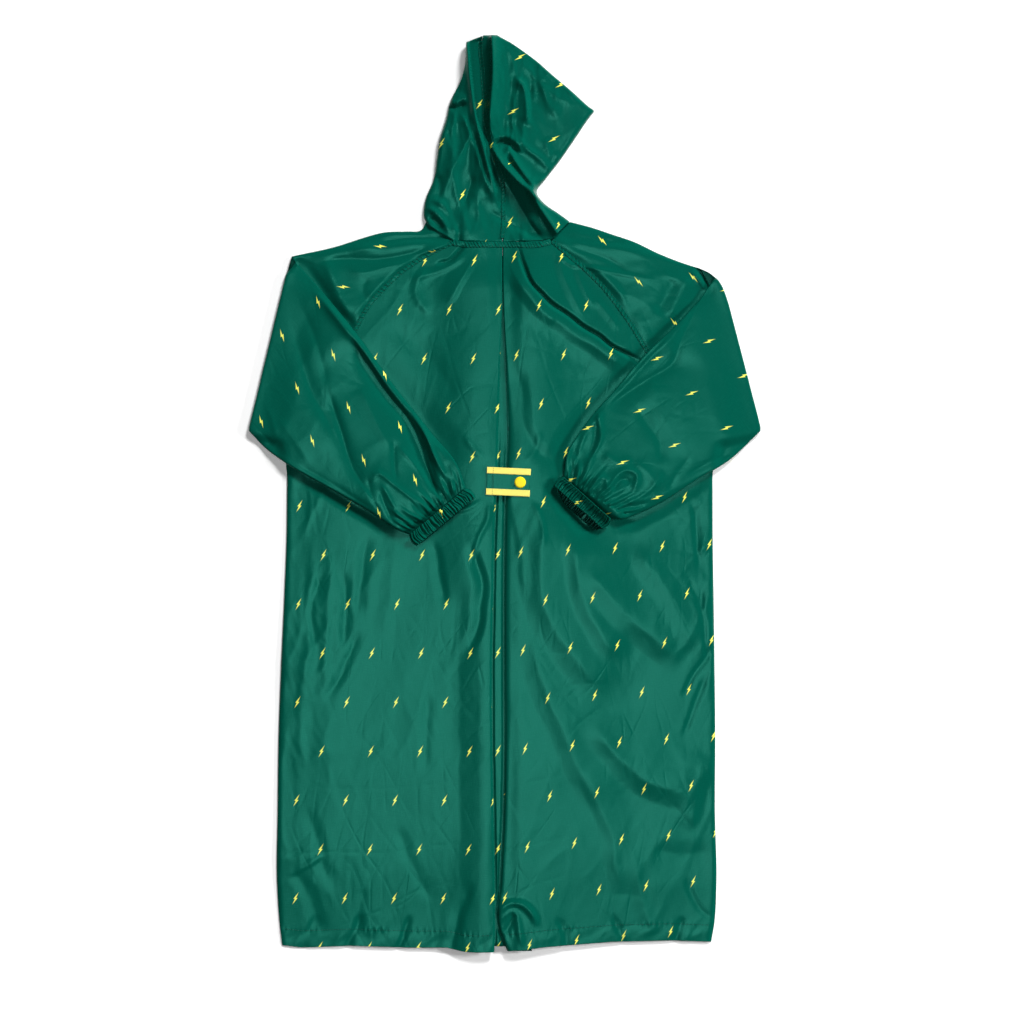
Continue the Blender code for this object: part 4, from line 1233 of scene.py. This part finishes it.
def pleat_underlay():
    """The cloth under the pleat, which swells a little where the pleat stands open."""
    y = np.arange(NECK_HIGH, -499, -STEP * 1.6)[:, None]
    # Its columns are closer together where it shows between the pleat's folds.
    spans = ((-PLEAT_HALF, -14, 9), (-13, 5, 24), (6, PLEAT_HALF, 11))
    x = np.concatenate([np.linspace(*span) for span in spans])[None, :]
    left = at_height(y, BACK_LEFT[:, 1], BACK_LEFT[:, 0]) + 1.5
    right = at_height(y, BACK_RIGHT[:, 1], BACK_RIGHT[:, 0]) - 1.9
    swell = smooth((x - left) / 1.3) * smooth((right - x) / 1.2) * smooth((80 - y) / 100)
    z = PLEAT_LAYER - neck_drop(y) + 1.5 * swell + 0.25 * noise(x, y * 0.2, 9, 31)
    points = np.stack(np.broadcast_arrays(x, y, z), axis=-1)
    GROUND.lay(points)
    return panel("back_pleat", "back_pleat", points)


def front_panel(name, neck, table, edge_x, edge_layer, outward):
    """A front panel under the back, from its neckline and placket edge to the side."""
    inner = list(neck)
    for row in table[len(neck):]:
        inner.append((edge_x, min(row[1], inner[-1][1] - 12)))
    inner[-1] = (edge_x, FRONT_HEM)
    side = table[:, 2:].copy()
    side[0] = (neck[0][0] + outward * 2.9, neck[0][1] - outward * 0.7 - 0.7)
    rows = np.concatenate((np.array(inner), side), axis=1)
    knots = lengths((rows[:, :2] + rows[:, 2:]) / 2)
    at = np.arange(0, knots[-1], STEP * 2).clip(0, knots[-1])
    fine = np.stack([np.interp(at, knots, rows[:, k]) for k in range(4)], axis=1)
    share = np.linspace(0, 1, FRONT_COLUMNS)[None, :]
    x = mix(fine[:, None, 0], fine[:, None, 2], share)
    y = mix(fine[:, None, 1], fine[:, None, 3], share)
    climb = smooth(1 - (np.abs(x) - PLACKET_HALF - 3) / PLACKET_RISE)
    wrinkle = 0.3 * np.maximum(crinkle(x, y, 60, 85, 0.5), 0)
    z = mix(FLOOR_LAYER, edge_layer, climb) + wrinkle * (1 - climb)
    points = np.dstack((x, y, z))
    GROUND.lay(points)
    return panel(name, name, points, up=False)


def placket():
    """The strip over the front closure, seen only from below."""
    x = np.linspace(-PLACKET_HALF, PLACKET_HALF, 11)[None, :]
    y = np.arange(PLACKET_TOP, FRONT_HEM, -STEP * 2)[:, None]
    points = np.stack(np.broadcast_arrays(x, y, PLACKET_LAYER), axis=-1)
    return panel("front_placket", "front_left", points, up=False)


# ---------------------------------------------------------------- sleeves


# mouth is how far the cuff's lower layer juts out; seed sets the sleeve's random forms.
Arm = namedtuple(
    "Arm", "side outward along across shoulder_creases forearm_creases top_edge mouth seed"
)
ARMS = (
    Arm("left", -1, LEFT_ALONG, LEFT_ACROSS, SHOULDER_LEFT_CREASES, FOREARM_LEFT_CREASES,
        SHOULDER_LEFT_TOP, 1.0, 300),
    Arm("right", 1, RIGHT_ALONG, RIGHT_ACROSS, SHOULDER_RIGHT_CREASES, FOREARM_RIGHT_CREASES,
        SHOULDER_RIGHT_TOP, 7.5, 340),
)


def unit(vector):
    return vector / norm(vector)


def shoulder_layers(arm, t, seam, turn_in):
    """The sleeve's back and front from its seam to its turn, the front on the floor."""
    rows = int(norm(seam - turn_in, axis=1).mean() / STEP)
    a = np.linspace(0, 1, rows)[:, None]
    plan = seam[None] * (1 - a[..., None]) + turn_in[None] * a[..., None]
    outline = smooth_line(arm.top_edge, 4.0)
    outline = curve(a[:, 0] * lengths(outline)[-1], lengths(outline), outline)
    shift = outline - plan[:, 0]
    plan = plan + shift[:, None] * (1 - smooth(t / 0.16))[None, :, None]
    x, y = plan[..., 0], plan[..., 1]
    hidden = under_sleeves(x, y)
    at_seam = back_surface(seam[:, 0], seam[:, 1])[None]
    at_seam = mix(at_seam, FLOOR_LAYER + 3.0, smooth(1 - t / 0.1)[None])
    base = mix(at_seam, FLOOR_LAYER + 3.6, smooth(a * 1.3))
    folds = 1.6 + 0.9 * noise(x, y, 70, arm.seed)
    folds = folds + crinkle(x, y, arm.seed + 1, 20 * arm.outward, 0.5)
    folds = folds * smooth((1 - a) / 0.35)
    folds += SHOULDER_SCALE * crease_field(arm.shoulder_creases, x, y) * smooth((1 - a) / 0.04)
    folds *= smooth(a / 0.12) * (1 - hidden) * smooth(t / 0.04)
    high = soft_floor(base + folds, FLOOR_LAYER + 1.2)
    high = high - 0.5 * np.exp(-a * rows * STEP / 2.0)
    low = np.full_like(high, FLOOR_LAYER)
    round_edges(high, low, plan)
    return np.dstack((plan, high)), np.dstack((plan, low))


def forearm_layers(arm, t, turn_in):
    """The sleeve's back and front from its turn to the cuff, the back on what is laid."""
    across, outward = arm.across, arm.outward
    knots = lengths((across[:, :2] + across[:, 2:4]) / 2)
    forearm = curve(np.arange(0, knots[-1], STEP), knots, across)
    forearm = np.concatenate((forearm, across[-1:]))
    plan = mix(forearm[:, None, :2], forearm[:, None, 2:4], t[None, :, None])
    done = np.linspace(0, 1, len(forearm))[:, None]
    shift = (turn_in - plan[0]) * smooth(t / 0.12)[:, None]
    plan = plan + shift[None] * (1 - smooth(done / 0.3))[..., None]
    x, y = plan[..., 0], plan[..., 1]
    crown = 1.5 * (4 * t * (1 - t)) ** 0.55
    puff = forearm[:, 4:5] * crown[None] * (0.4 + 1.2 * t)[None]
    span = norm(forearm[:, 2:4] - forearm[:, :2], axis=1)
    edge = np.minimum(t, 1 - t)[None] * span[:, None]
    low = GROUND.height(x, y) + SLEEVE_CLEAR + CLOTH / 2
    raised = mix(3.4 + 0.9 * outward, 4.6, t)[None] * np.exp(-edge / 9)
    low = low + raised * smooth(done / 0.25) * smooth((1 - done) / 0.08)
    folds = crease_field(arm.forearm_creases, x, y) + gathers(x, y, across, arm.seed)
    folds += 0.7 * noise(x, y, 60, arm.seed + 5)
    folds += crinkle(x, y, arm.seed + 6, -50 * outward, 0.3)
    folds *= smooth(edge / 9)
    inner = soft_floor(0.6 + (puff + folds + 0.9) * smooth(done / 0.2), 0.6)
    inner = mix(inner, 2.0, smooth((done - 0.97) / 0.03))
    high = below_ceiling(low + CLOTH + inner)
    round_edges(high, low, plan)
    return np.dstack((plan, low)), np.dstack((plan, high))


def turned_over(shoulder, forearm, t, out, reach):
    """One layer from the shoulder's last row, out round the turn, to the forearm's first."""
    angle = np.linspace(0, math.pi, TURN_ROWS + 2)[1:-1]
    lift = (1 - np.cos(angle)) / 2
    middle = mix(shoulder[-1][None], forearm[0][None], lift[:, None, None])
    edge = 0.25 + 0.75 * smooth(np.minimum(t, 1 - t) / 0.02)
    push = reach * np.sin(angle)[:, None] * edge[None]
    middle[..., :2] += push[..., None] * out
    return np.concatenate((shoulder, middle, forearm))


def sleeve(arm):
    """A flattened sleeve from its raglan seam, over its turn, to the cuff."""
    widest = norm(arm.across[0, :2] - arm.across[0, 2:4])
    t = shares(int(widest / STEP), (0.12, 0.4), (0.4, 0.12))
    knots = lengths(arm.along[:, 2:])
    fine = curve(t * knots[-1], knots, arm.along)
    seam, turn = fine[:, :2], fine[:, 2:]
    turn_x, turn_y = turn[-1] - turn[0]
    out = unit(np.array((-arm.outward * turn_y, arm.outward * turn_x)))
    turn_in = turn - out * (SLEEVE_EDGE + CLOTH / 2)

    shoulder_back, shoulder_front = shoulder_layers(arm, t, seam, turn_in)
    GROUND.lay(shoulder_back)
    forearm_back, forearm_front = forearm_layers(arm, t, turn_in)
    # At the turn the back's cloth is inside and the front's outside.
    back = turned_over(shoulder_back, forearm_back, t, out, 0.6)
    front = turned_over(shoulder_front, forearm_front, t, out, 1.5)
    first_forearm = len(shoulder_back) + TURN_ROWS
    corners = sleeve_print(arm.side, back, front, len(shoulder_back), first_forearm)
    name = shown(f"sleeve_{arm.side}")
    obj = grid_mesh(name, around(back, front), corners, CLOTH_SKINS, ring=True)
    GROUND.lay(forearm_front)
    length = lengths(arm.across[:, :2])[-1] + norm(seam - turn_in, axis=1).mean()
    return obj, (2 * widest * SLEEVE_EXTRA[0], length * SLEEVE_EXTRA[1])


def around(upper, lower):
    """The ring of points round a tube, over its upper layer and back under its lower one."""
    return np.concatenate((upper, lower[:, -2:0:-1]), axis=1)


def round_edges(high, low, plan):
    """Brings a sleeve's two layers together at its edges, along a rounded edge."""
    span = norm(plan[:, -1] - plan[:, 0], axis=1)[:, None]
    step = norm(np.diff(plan, axis=1), axis=2)
    along = np.concatenate((np.zeros_like(span), np.cumsum(step, axis=1)), axis=1)
    inward = np.minimum(along, along[:, -1:] - along)
    part = rounded(inward, SLEEVE_EDGE)
    middle, half = (high + low) / 2, (high - low) / 2
    high[:] = middle + half * part
    low[:] = low * smooth(inward / 6) + (middle - half * part) * (1 - smooth(inward / 6))


def gathers(x, y, across, seed):
    """Small folds that fan out of the cuff's elastic."""
    over, under = across[-1, :2], across[-1, 2:4]
    run = unit(under - over)
    up = unit((across[-2, :2] + across[-2, 2:4]) / 2 - (over + under) / 2)
    dx, dy = x - over[0], y - over[1]
    level = dx * run[0] + dy * run[1]
    above = dx * up[0] + dy * up[1]
    width = norm(under - over)
    fan = (level / width - 0.5) / (1 + above.clip(0) / 55)
    total = 0.0
    for folds, height, far, extra in ((9, 1.7, 34, 1), (CUFF_RIBS, 1.0, 15, 2)):
        phase = fan * folds * 2 * math.pi + 4.0 * noise(level, above * 0.2, 19, seed + 9 * extra)
        reach = far * (1 + 0.9 * noise(level, 0, 8, seed + 8 * extra))
        fade = smooth(1 - above / reach.clip(6)) * smooth(above / 2 + 0.6)
        total = total + height * (1 - 2 * np.abs(np.sin(phase / 2))) * fade
    return total


def sleeve_print(side, back, front, first_turn, first_forearm):
    """The print's places on each face of a sleeve's ring of points.

    The visible layers, the shoulder's back and the forearm's front, take their own lie.
    Each hidden layer continues its visible one round the overarm edge.
    """
    shoulder, forearm = f"shoulder_{side}", f"forearm_{side}"
    over = back[:, :1, :2]
    columns = back.shape[1]
    shoulder_run = unit(over[first_turn - 1, 0] - over[0, 0])
    forearm_run = unit(over[-1, 0] - over[first_forearm + 2, 0])

    def flat_ring(grain, run, mirror_front):
        plan_back, plan_front = back[..., :2], front[..., :2]
        mirrored = plan_front if mirror_front else plan_back
        away = mirrored - over
        mirrored = over + 2 * (away @ run)[..., None] * run - away
        pair = (plan_back, mirrored) if mirror_front else (mirrored, plan_front)
        ring = np.concatenate((around(*pair), pair[1][:, :1]), axis=1)
        return corners_of(printed(grain, ring[..., 0], ring[..., 1]))

    by_shoulder = flat_ring(shoulder, shoulder_run, True)
    by_forearm = flat_ring(forearm, forearm_run, False)
    row = np.arange(by_shoulder.shape[0])[:, None]
    on_front = np.arange(by_shoulder.shape[1])[None, :] >= columns - 1
    use_forearm = np.where(on_front, row >= first_turn - 1, row >= first_forearm)
    return np.where(use_forearm[..., None, None], by_forearm, by_shoulder)


def cuff(arm):
    """The elasticated cuff: a flattened ring of ribs with a stitched row at each end.

    Its lower layer juts out at the mouth.
    """
    over, under = arm.across[-1, :2], arm.across[-1, 2:4]
    run = unit(under - over)
    beyond = unit(over - arm.across[-2, :2])
    beyond = unit(beyond - run * (beyond @ run))
    width = norm(under - over)
    columns = 250
    t = (1 - np.cos(np.linspace(0, math.pi, columns))) / 2
    t = mix(t, np.linspace(0, 1, columns), 0.75)
    reach = np.linspace(0.0, CUFF_LENGTH, 16)[:, None]
    done = reach / CUFF_LENGTH
    grown = 1 + 0.05 * np.sin(done * math.pi) + 0.05 * done
    middle = over + run * width / 2
    plan = middle + run * ((t - 0.5) * width * grown)[..., None] + beyond * reach[..., None]
    base = GROUND.height(plan[..., 0], plan[..., 1]) + SLEEVE_CLEAR + CLOTH / 2
    base = np.maximum(base, base[:, columns // 4 : -columns // 4].min())
    wander = 5.0 * noise(t * 60, 0, 8, 91) + 1.6 * noise(t * 60 + done * 4, done * 9, 5, 92)
    phase = t * CUFF_RIBS * 2 * math.pi + wander
    rib = 1 - 2 * (1 - np.abs(np.sin(phase / 2))) ** 1.6
    rib = rib * (0.85 + 0.5 * noise(t * 60 + done * 2, done * 7, 6, 93))
    rib = rib + 0.3 * np.sin(phase * 1.7 + 3 * done)
    # The elastic pinches the cloth at either row of stitches.
    pinch = 1 - 0.55 * np.exp(-((done - 0.1) / 0.08) ** 2)
    pinch = pinch - 0.45 * np.exp(-((done - 0.86) / 0.08) ** 2)
    high = base + 3.0 + 1.5 * rib * pinch + 0.7 * np.sin(done * math.pi)
    high = high + 0.62 * arm.mouth * smooth((done - 0.2) / 0.8) * (4 * t * (1 - t)) ** 0.5
    opening = arm.mouth * smooth(t / 0.35) * smooth((1 - t) / 0.12)
    opened = smooth((done - 0.35) / 0.65)
    low = base + 0.45 * np.sin(phase + 2.0) * pinch + 0.5 + 0.3 * opening * opened
    sway = run * (0.22 * np.cos(phase) * pinch)[..., None]
    upper = np.dstack((plan + sway, high))
    lower = np.dstack((plan + beyond * (opening * opened)[..., None] + sway, low))
    part = rounded(np.minimum(t, 1 - t) * width, CUFF_EDGE)[None]
    between = (upper + lower) / 2
    for layer in (upper, lower):
        layer[..., 2] = mix(between[..., 2], layer[..., 2], part)
        layer[:, (0, -1), :2] = between[:, (0, -1), :2]
    name = f"cuff_{arm.side}"
    obj = panel(name, name, around(upper, lower), ring=True, wall=CUFF_WALL)
    GROUND.lay(upper)
    rows = [upper[k] + (0, 0, 0.45) for k in (1, 14)]
    return obj, rows, (2 * width * CUFF_EXTRA[0], CUFF_LENGTH * CUFF_EXTRA[1])


# ---------------------------------------------------------------- hood


HOOD_STEP = 2.0
HOOD_MIDDLE = 0.6  # the share of the points that lies inside the middle line
HOOD_LEAST = 1.9  # height of its lowest hollows


def hood_surface(x, y):
    """The top of the hood's crumpled cloth above the surface."""
    rise = smooth((y - NECK_SEAM) / 30)
    dome = 5.2 + 1.6 * smooth((y - 300) / 90)
    folds = crease_field(HOOD_CREASES, x, y) + 0.9 * noise(x, y, 50, 140)
    folds += crinkle(x, y, 150, 80, 2.3)
    base = mix(back_surface(x, np.full_like(y, NECK_HIGH + 4)), dome, rise)
    risen = 0.15 + 0.85 * smooth((y - 277) / 9)
    return below_ceiling(soft_floor(base + folds * risen, HOOD_LEAST))


def hood_half(side, table):
    """Half of the hood, from the centre seam out and under at its silhouette."""

    def lines_of(rows):
        return (rows[..., k : k + 2] for k in (0, 2, 4, 6))

    centre, middle, edge, under = lines_of(table)
    knots = lengths((centre + middle + edge) / 3)
    at = np.arange(0, knots[-1] + 1.0, HOOD_STEP).clip(0, knots[-1])
    centre, middle, edge, under = lines_of(curve(at, knots, table)[:, None])
    reach = norm(edge - middle, axis=2) + norm(middle - centre, axis=2)
    share = shares(int(reach.max() / HOOD_STEP), (), (0.55, 0.25, 0.08))[None, :, None]
    inner = mix(centre, middle, (share / HOOD_MIDDLE).clip(0, 1))
    outer = mix(middle, edge, (share - HOOD_MIDDLE) / (1 - HOOD_MIDDLE))
    plan = np.where(share < HOOD_MIDDLE, inner, outer)
    x, y = plan[..., 0], plan[..., 1]
    z = hood_surface(x, y)
    away = norm(edge - plan, axis=2)
    to_crown = (knots[-1] - at)[:, None]
    part = rounded(away, 4.5) * rounded(to_crown, 5.0)
    rim = 1.7 + 6.5 * smooth((edge[..., 1] - 425) / 35) * smooth((5 - edge[..., 0]) / 15)
    z = rim + (z - rim) * part
    turned = np.linspace(0, 1, 26)[None, 1:, None] ** 1.4
    below = mix(edge, under, turned)
    drop = rounded(norm(below - edge, axis=2), 2.5) * rounded(to_crown, 3.0)
    low = rim + (FLOOR_LAYER - rim) * drop
    points = np.concatenate((np.dstack((plan, z)), np.dstack((below, low))), axis=1)
    # The print goes on past the silhouette as if the cloth weren't turned under there.
    axis = edge - middle
    axis = axis / norm(axis, axis=2, keepdims=True)
    off = below - edge
    unfolded = edge + off - 2 * (off * axis).sum(2, keepdims=True) * axis
    flat_places = np.concatenate((plan, unfolded), axis=1)
    main, patch = (
        corners_of(printed(f"hood_{side}{kind}", flat_places[..., 0], flat_places[..., 1]))
        for kind in ("", "_patch")
    )
    middles = corners_of(flat_places).mean(2)
    corners = np.where(on_patch(side, middles)[..., None, None], patch, main)
    GROUND.lay(points[:, : plan.shape[1]])
    return grid_mesh(shown(f"hood_{side}"), points, corners, CLOTH_SKINS)


def on_patch(side, places):
    """Where a fold of the hood shows cloth from another part of the panel's print."""
    x, y = places[..., 0], places[..., 1]
    if side == "right":
        return (x + 16) * 66 + (y - 384) * 58 < 0
    ridge = np.array(HOOD_CREASES[0].points)
    return (x > at_height(y, ridge[:, 1], ridge[:, 0]) - 12) & (y > 350)


# ---------------------------------------------------------------- tab and snaps


def strip(name, size, offset, low, wall, skin, seed, step=0.8):
    """A thin flat piece with rounded corners and edges, laid along the tab."""
    columns, rows = int(size[0] / step), max(6, int(size[1] / step))
    u, v = np.linspace(-0.5, 0.5, columns), np.linspace(0.5, -0.5, rows)
    along, up = np.meshgrid(u * size[0], v * size[1])
    x, y = tab_place(along + offset[0], up + offset[1])
    z = low + wall / 2 + STRIP_SWAY * noise(x, y, 14, seed)
    corners = corners_of(np.dstack((along + 200, up + 200)))
    obj = grid_mesh(name, np.dstack((x, y, z)), corners, (skin,), wall=wall)
    edge = obj.modifiers.new("edge", "BEVEL")
    edge.width = 0.16 * MM
    edge.segments = 2
    edge.angle_limit = math.radians(50)
    return obj


def turned_piece(name, centre, low, profile, skin, sides=64):
    """A round piece turned from its profile of radii and heights."""
    verts, faces = [], []
    for radius, height in profile[1:-1]:
        for k in range(sides):
            angle = 2 * math.pi * k / sides
            verts.append((
                centre[0] + radius * math.cos(angle), centre[1] + radius * math.sin(angle),
                low + height,
            ))
    rings = len(profile) - 2
    for ring in range(rings - 1):
        for k in range(sides):
            j = (k + 1) % sides
            a, b = ring * sides, (ring + 1) * sides
            faces.append((a + k, a + j, b + j, b + k))
    for end, ring in ((profile[0], 0), (profile[-1], rings - 1)):
        hub = len(verts)
        verts.append((centre[0], centre[1], low + end[1]))
        for k in range(sides):
            j = (k + 1) % sides
            pair = (ring * sides + j, ring * sides + k)
            faces.append((hub, *(pair if ring == 0 else pair[::-1])))
    return solid(name, verts, faces, skin)


# A snap's dome: how far in from its radius, and the share of its height, up to its top.
DOME = (
    (0.7, 0), (0.25, 0.06), (0, 0.3), (0.06, 0.5), (0.25, 0.68), (0.6, 0.8), (1.1, 0.88),
    (1.8, 0.93), (3.0, 0.97), (SNAP_RADIUS - 1.4, 0.995),
)


def snap_profile(height):
    dome = [(SNAP_RADIUS - inward, share * height) for inward, share in DOME]
    return [(0, 0), *dome, (0, height)]


def tab_line(along, up, height):
    """A line of stitches on the tab."""
    x, y = tab_place(along, up)
    return np.stack((x, y, np.full_like(x, height)), axis=1)


def back_tab():
    """The tab over the pleat, with its two tapes, its stitches and its snap."""
    box_x, box_y = np.meshgrid(np.linspace(-22, 22, 12), np.linspace(-14, 14, 8))
    low = GROUND.height(*tab_place(box_x, box_y)).max() + 0.25
    tab = place(strip(shown("tab"), TAB_SIZE, (0, 0), low, TAB_WALL, PLAIN, 201))
    half_x, half_y, half_tape = TAB_SIZE[0] / 2, TAB_SIZE[1] / 2, TAPE_WIDTH / 2
    rail = (TAB_SIZE[1] - TAPE_WIDTH) / 2
    top = low + TAB_WALL + STRIP_SWAY
    tape_size = (TAB_SIZE[0] + 0.6, TAPE_WIDTH)
    tapes = []
    for name, up in (("tab_tape_upper", rail), ("tab_tape_lower", -rail)):
        tape = strip(shown(name), tape_size, (0, up), top, TAPE_WALL, TAPE, 202, 0.7)
        tapes.append(place(tape))
    seams, rows = [], []
    for up in (-rail, rail):
        ups = np.linspace(up - half_tape + 0.3, up + half_tape - 0.3, 5)
        seams.append(tab_line(-17.2, ups, top + TAPE_WALL + 0.1))
    for along in (-17.6, -16.2):
        seams.append(tab_line(along, np.linspace(-half_y + 7.5, half_y - 7.5, 12), top + 0.12))
    for up in (rail, -rail):
        for inset in (-half_tape + 0.8, half_tape - 0.8):
            alongs = np.linspace(-half_x + 1, half_x - 1, 20)
            rows.append(tab_line(alongs, up + inset, top + TAPE_WALL + 0.1))
    seams = stitches("tab_stitches", seams, THREAD, pitch=2.1, length=1.7, radius=0.2)
    rows = stitches("tape_stitches", rows, TAPE, pitch=2.4, length=1.8, radius=0.14)
    place(seams)
    place(rows)
    snap_at = tab_place(SNAP_OFFSET, 0)
    snap = turned_piece(shown("tab_snap"), snap_at, top + 0.05, snap_profile(SNAP_HEIGHT), SNAP)
    place(snap)
    declare(tab, [seams])
    for tape, extra in zip(tapes, ([rows], [])):
        declare(tape, extra, (tape_size[0], TAPE_WIDTH + TAPE_TURNING))


def front_snaps():
    """The caps of the front's snaps, face down on the surface under the placket."""
    for number in range(1, 6):
        low, high = node_box(f"front_snap_{number}")
        centre = (low + high)[:2] / 2
        profile = [(r, -z) for r, z in snap_profile(high[2] - low[2])]
        cap = turned_piece(shown(f"front_snap_{number}"), centre, high[2], profile, SNAP, 40)
        place(cap)


# ---------------------------------------------------------------- the stage


VIEW_CENTRE = (0.00825, -0.02035)
VIEW_WIDTH = 1.1264
LENS, SENSOR = 150.0, 36.0

FLOOR_GLOW = 0.12  # of a light table, which keeps a cut-out's ground white
FLOOR_HALF = 9e3
WORLD_LIGHT = 0.05
OVERHEAD_X, OVERHEAD_Y = 0.03, -0.34

# Each lamp's place, what it points at, its size in metres and its power in watts, and
# whether it is seen in the gloss and lights the cloth's colour. The overhead lamp is
# only mirrored, and the others only light.
LAMPS = {
    "overhead": ((OVERHEAD_X, OVERHEAD_Y, 3.4), (OVERHEAD_X, OVERHEAD_Y, 0), 1.44, 51, True, False),
    "fill": ((OVERHEAD_X, OVERHEAD_Y, 3.4), (OVERHEAD_X, OVERHEAD_Y, 0), 1.44, 27, False, True),
    "key": ((3.6, 6.6, 5.3), (0, 0, 0), 2.2, 970, False, True),
    "side": ((8.0, 1.1, 3.1), (0, 0, 0), 1.6, 690, False, True),
}


def area_light(name, at, aim, size, power, glossy, diffuse):
    data = bpy.data.lights.new(name, "AREA")
    data.shape = "DISK"
    data.size = size
    data.energy = power
    lamp = add_object(name, data)
    lamp.location = at
    lamp.visible_camera = False
    lamp.visible_glossy = glossy
    lamp.visible_diffuse = diffuse
    direction = Vector(aim) - Vector(at)
    lamp.rotation_euler = direction.to_track_quat("-Z", "Y").to_euler()


def stage():
    """The floor, the lights and the camera that looks straight down."""
    nodes = Nodes("floor")
    grain = nodes.noise(nodes.object_places(), 30.0, 4.0)
    nodes.set(
        Base_Color=nodes.mix(grain, FLOOR_DARK, FLOOR_LIGHT), Roughness=0.9,
        Emission_Color=WHITE, Emission_Strength=FLOOR_GLOW,
    )
    signs = ((-1, -1), (1, -1), (1, 1), (-1, 1))
    corners = [(FLOOR_HALF * a, FLOOR_HALF * b, 0) for a, b in signs]
    floor = solid("floor", corners, [(0, 1, 2, 3)], nodes.material)
    floor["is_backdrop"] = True

    for name, lamp in LAMPS.items():
        area_light(name, *lamp)
    world = bpy.data.worlds.new("studio")
    world.use_nodes = True
    sky = world.node_tree.nodes["Background"].inputs
    sky[0].default_value, sky[1].default_value = WHITE, WORLD_LIGHT
    bpy.context.scene.world = world
    bpy.context.scene.view_settings.view_transform = "Standard"

    data = bpy.data.cameras.new("camera")
    data.lens = LENS
    data.sensor_width = SENSOR
    camera = add_object("camera", data)
    camera.location = (*VIEW_CENTRE, VIEW_WIDTH * LENS / SENSOR + CENTRE_LAYER * MM)
    bpy.context.scene.camera = camera


# ---------------------------------------------------------------- assembly


def body():
    """The fronts, the placket and the back over them, with the seams and stitches."""
    left = front_panel(
        "front_left", FRONT_LEFT_NECK, BACK_LEFT, -PLACKET_HALF - GAP, PLACKET_LAYER, -1
    )
    right = front_panel(
        "front_right", FRONT_RIGHT_NECK, BACK_RIGHT, UNDERLAP_EDGE, UNDERLAP_LAYER, 1
    )
    strip_piece = placket()
    underlay = pleat_underlay()
    for obj in (left, right, strip_piece, underlay):
        declare(place(obj))
    backs = [back_panel("back_left", BACK_LEFT, -1), back_panel("back_right", BACK_RIGHT, 1)]
    for obj, side, table, seed, hem in (
        (backs[0], "left", BACK_LEFT, 34, (-243, -12, 232)),
        (backs[1], "right", BACK_RIGHT, 35, (4, 226, 223)),
    ):
        line = smooth_line(table[: UNDERARM_ROW + 1, 2:4], 1.0)
        seam, rows = band(
            f"raglan_seam_{side}", line, back_surface, f"back_{side}", PLAIN,
            width=5.2, lift=0.3, pucker=0.75, seed=seed,
        )
        hem_x = np.linspace(*hem)
        hem_y = hem_line(hem_x) + HEM_DEPTH
        rows.append(np.stack((hem_x, hem_y, back_top(hem_x, hem_y) + CLOTH / 2 + 0.1), axis=1))
        extra = [seam, place(stitches(f"back_stitches_{side}", rows, THREAD))]
        if side == "left":
            extra += neck_seam()
        declare(place(obj), extra)


def neck_seam():
    seam, rows = band(
        "neck_seam", smooth_line(NECK_LINE, 0.9), back_surface, "back_left", OUTSIDE,
        width=6.4, lift=0.4, pucker=0.85, seed=77, pitch=3.6,
    )
    return [seam, place(stitches("neck_stitches", rows[:1], THREAD))]


def sleeves():
    for arm in ARMS:
        obj, size = sleeve(arm)
        end, rows, cuff_size = cuff(arm)
        sewn = place(stitches(f"cuff_stitches_{arm.side}", rows, THREAD, pitch=2.6, length=1.9))
        declare(place(obj), size=size)
        declare(place(end), [sewn], size=cuff_size)


def hood():
    halves = [hood_half("left", HOOD_LEFT), hood_half("right", HOOD_RIGHT)]
    line = smooth_line(HOOD_LEFT[:, :2], 1.0)[4:-6]
    seam, rows = band(
        "hood_seam", line, hood_surface, "hood_left", OUTSIDE,
        width=4.6, lift=0.5, pucker=0.8, seed=88, pitch=4.2,
    )
    sewn = place(stitches("hood_stitches", rows, THREAD))
    for obj, extra in zip(halves, ([seam, sewn], [])):
        declare(place(obj), with_pieces=extra)


stage()
body()
hood()
sleeves()
back_tab()
front_snaps()

boxes = {"cad": CAD_BOX, "visual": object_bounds()}
{key: [[float(v) for v in corner] for corner in box] for key, box in boxes.items()}
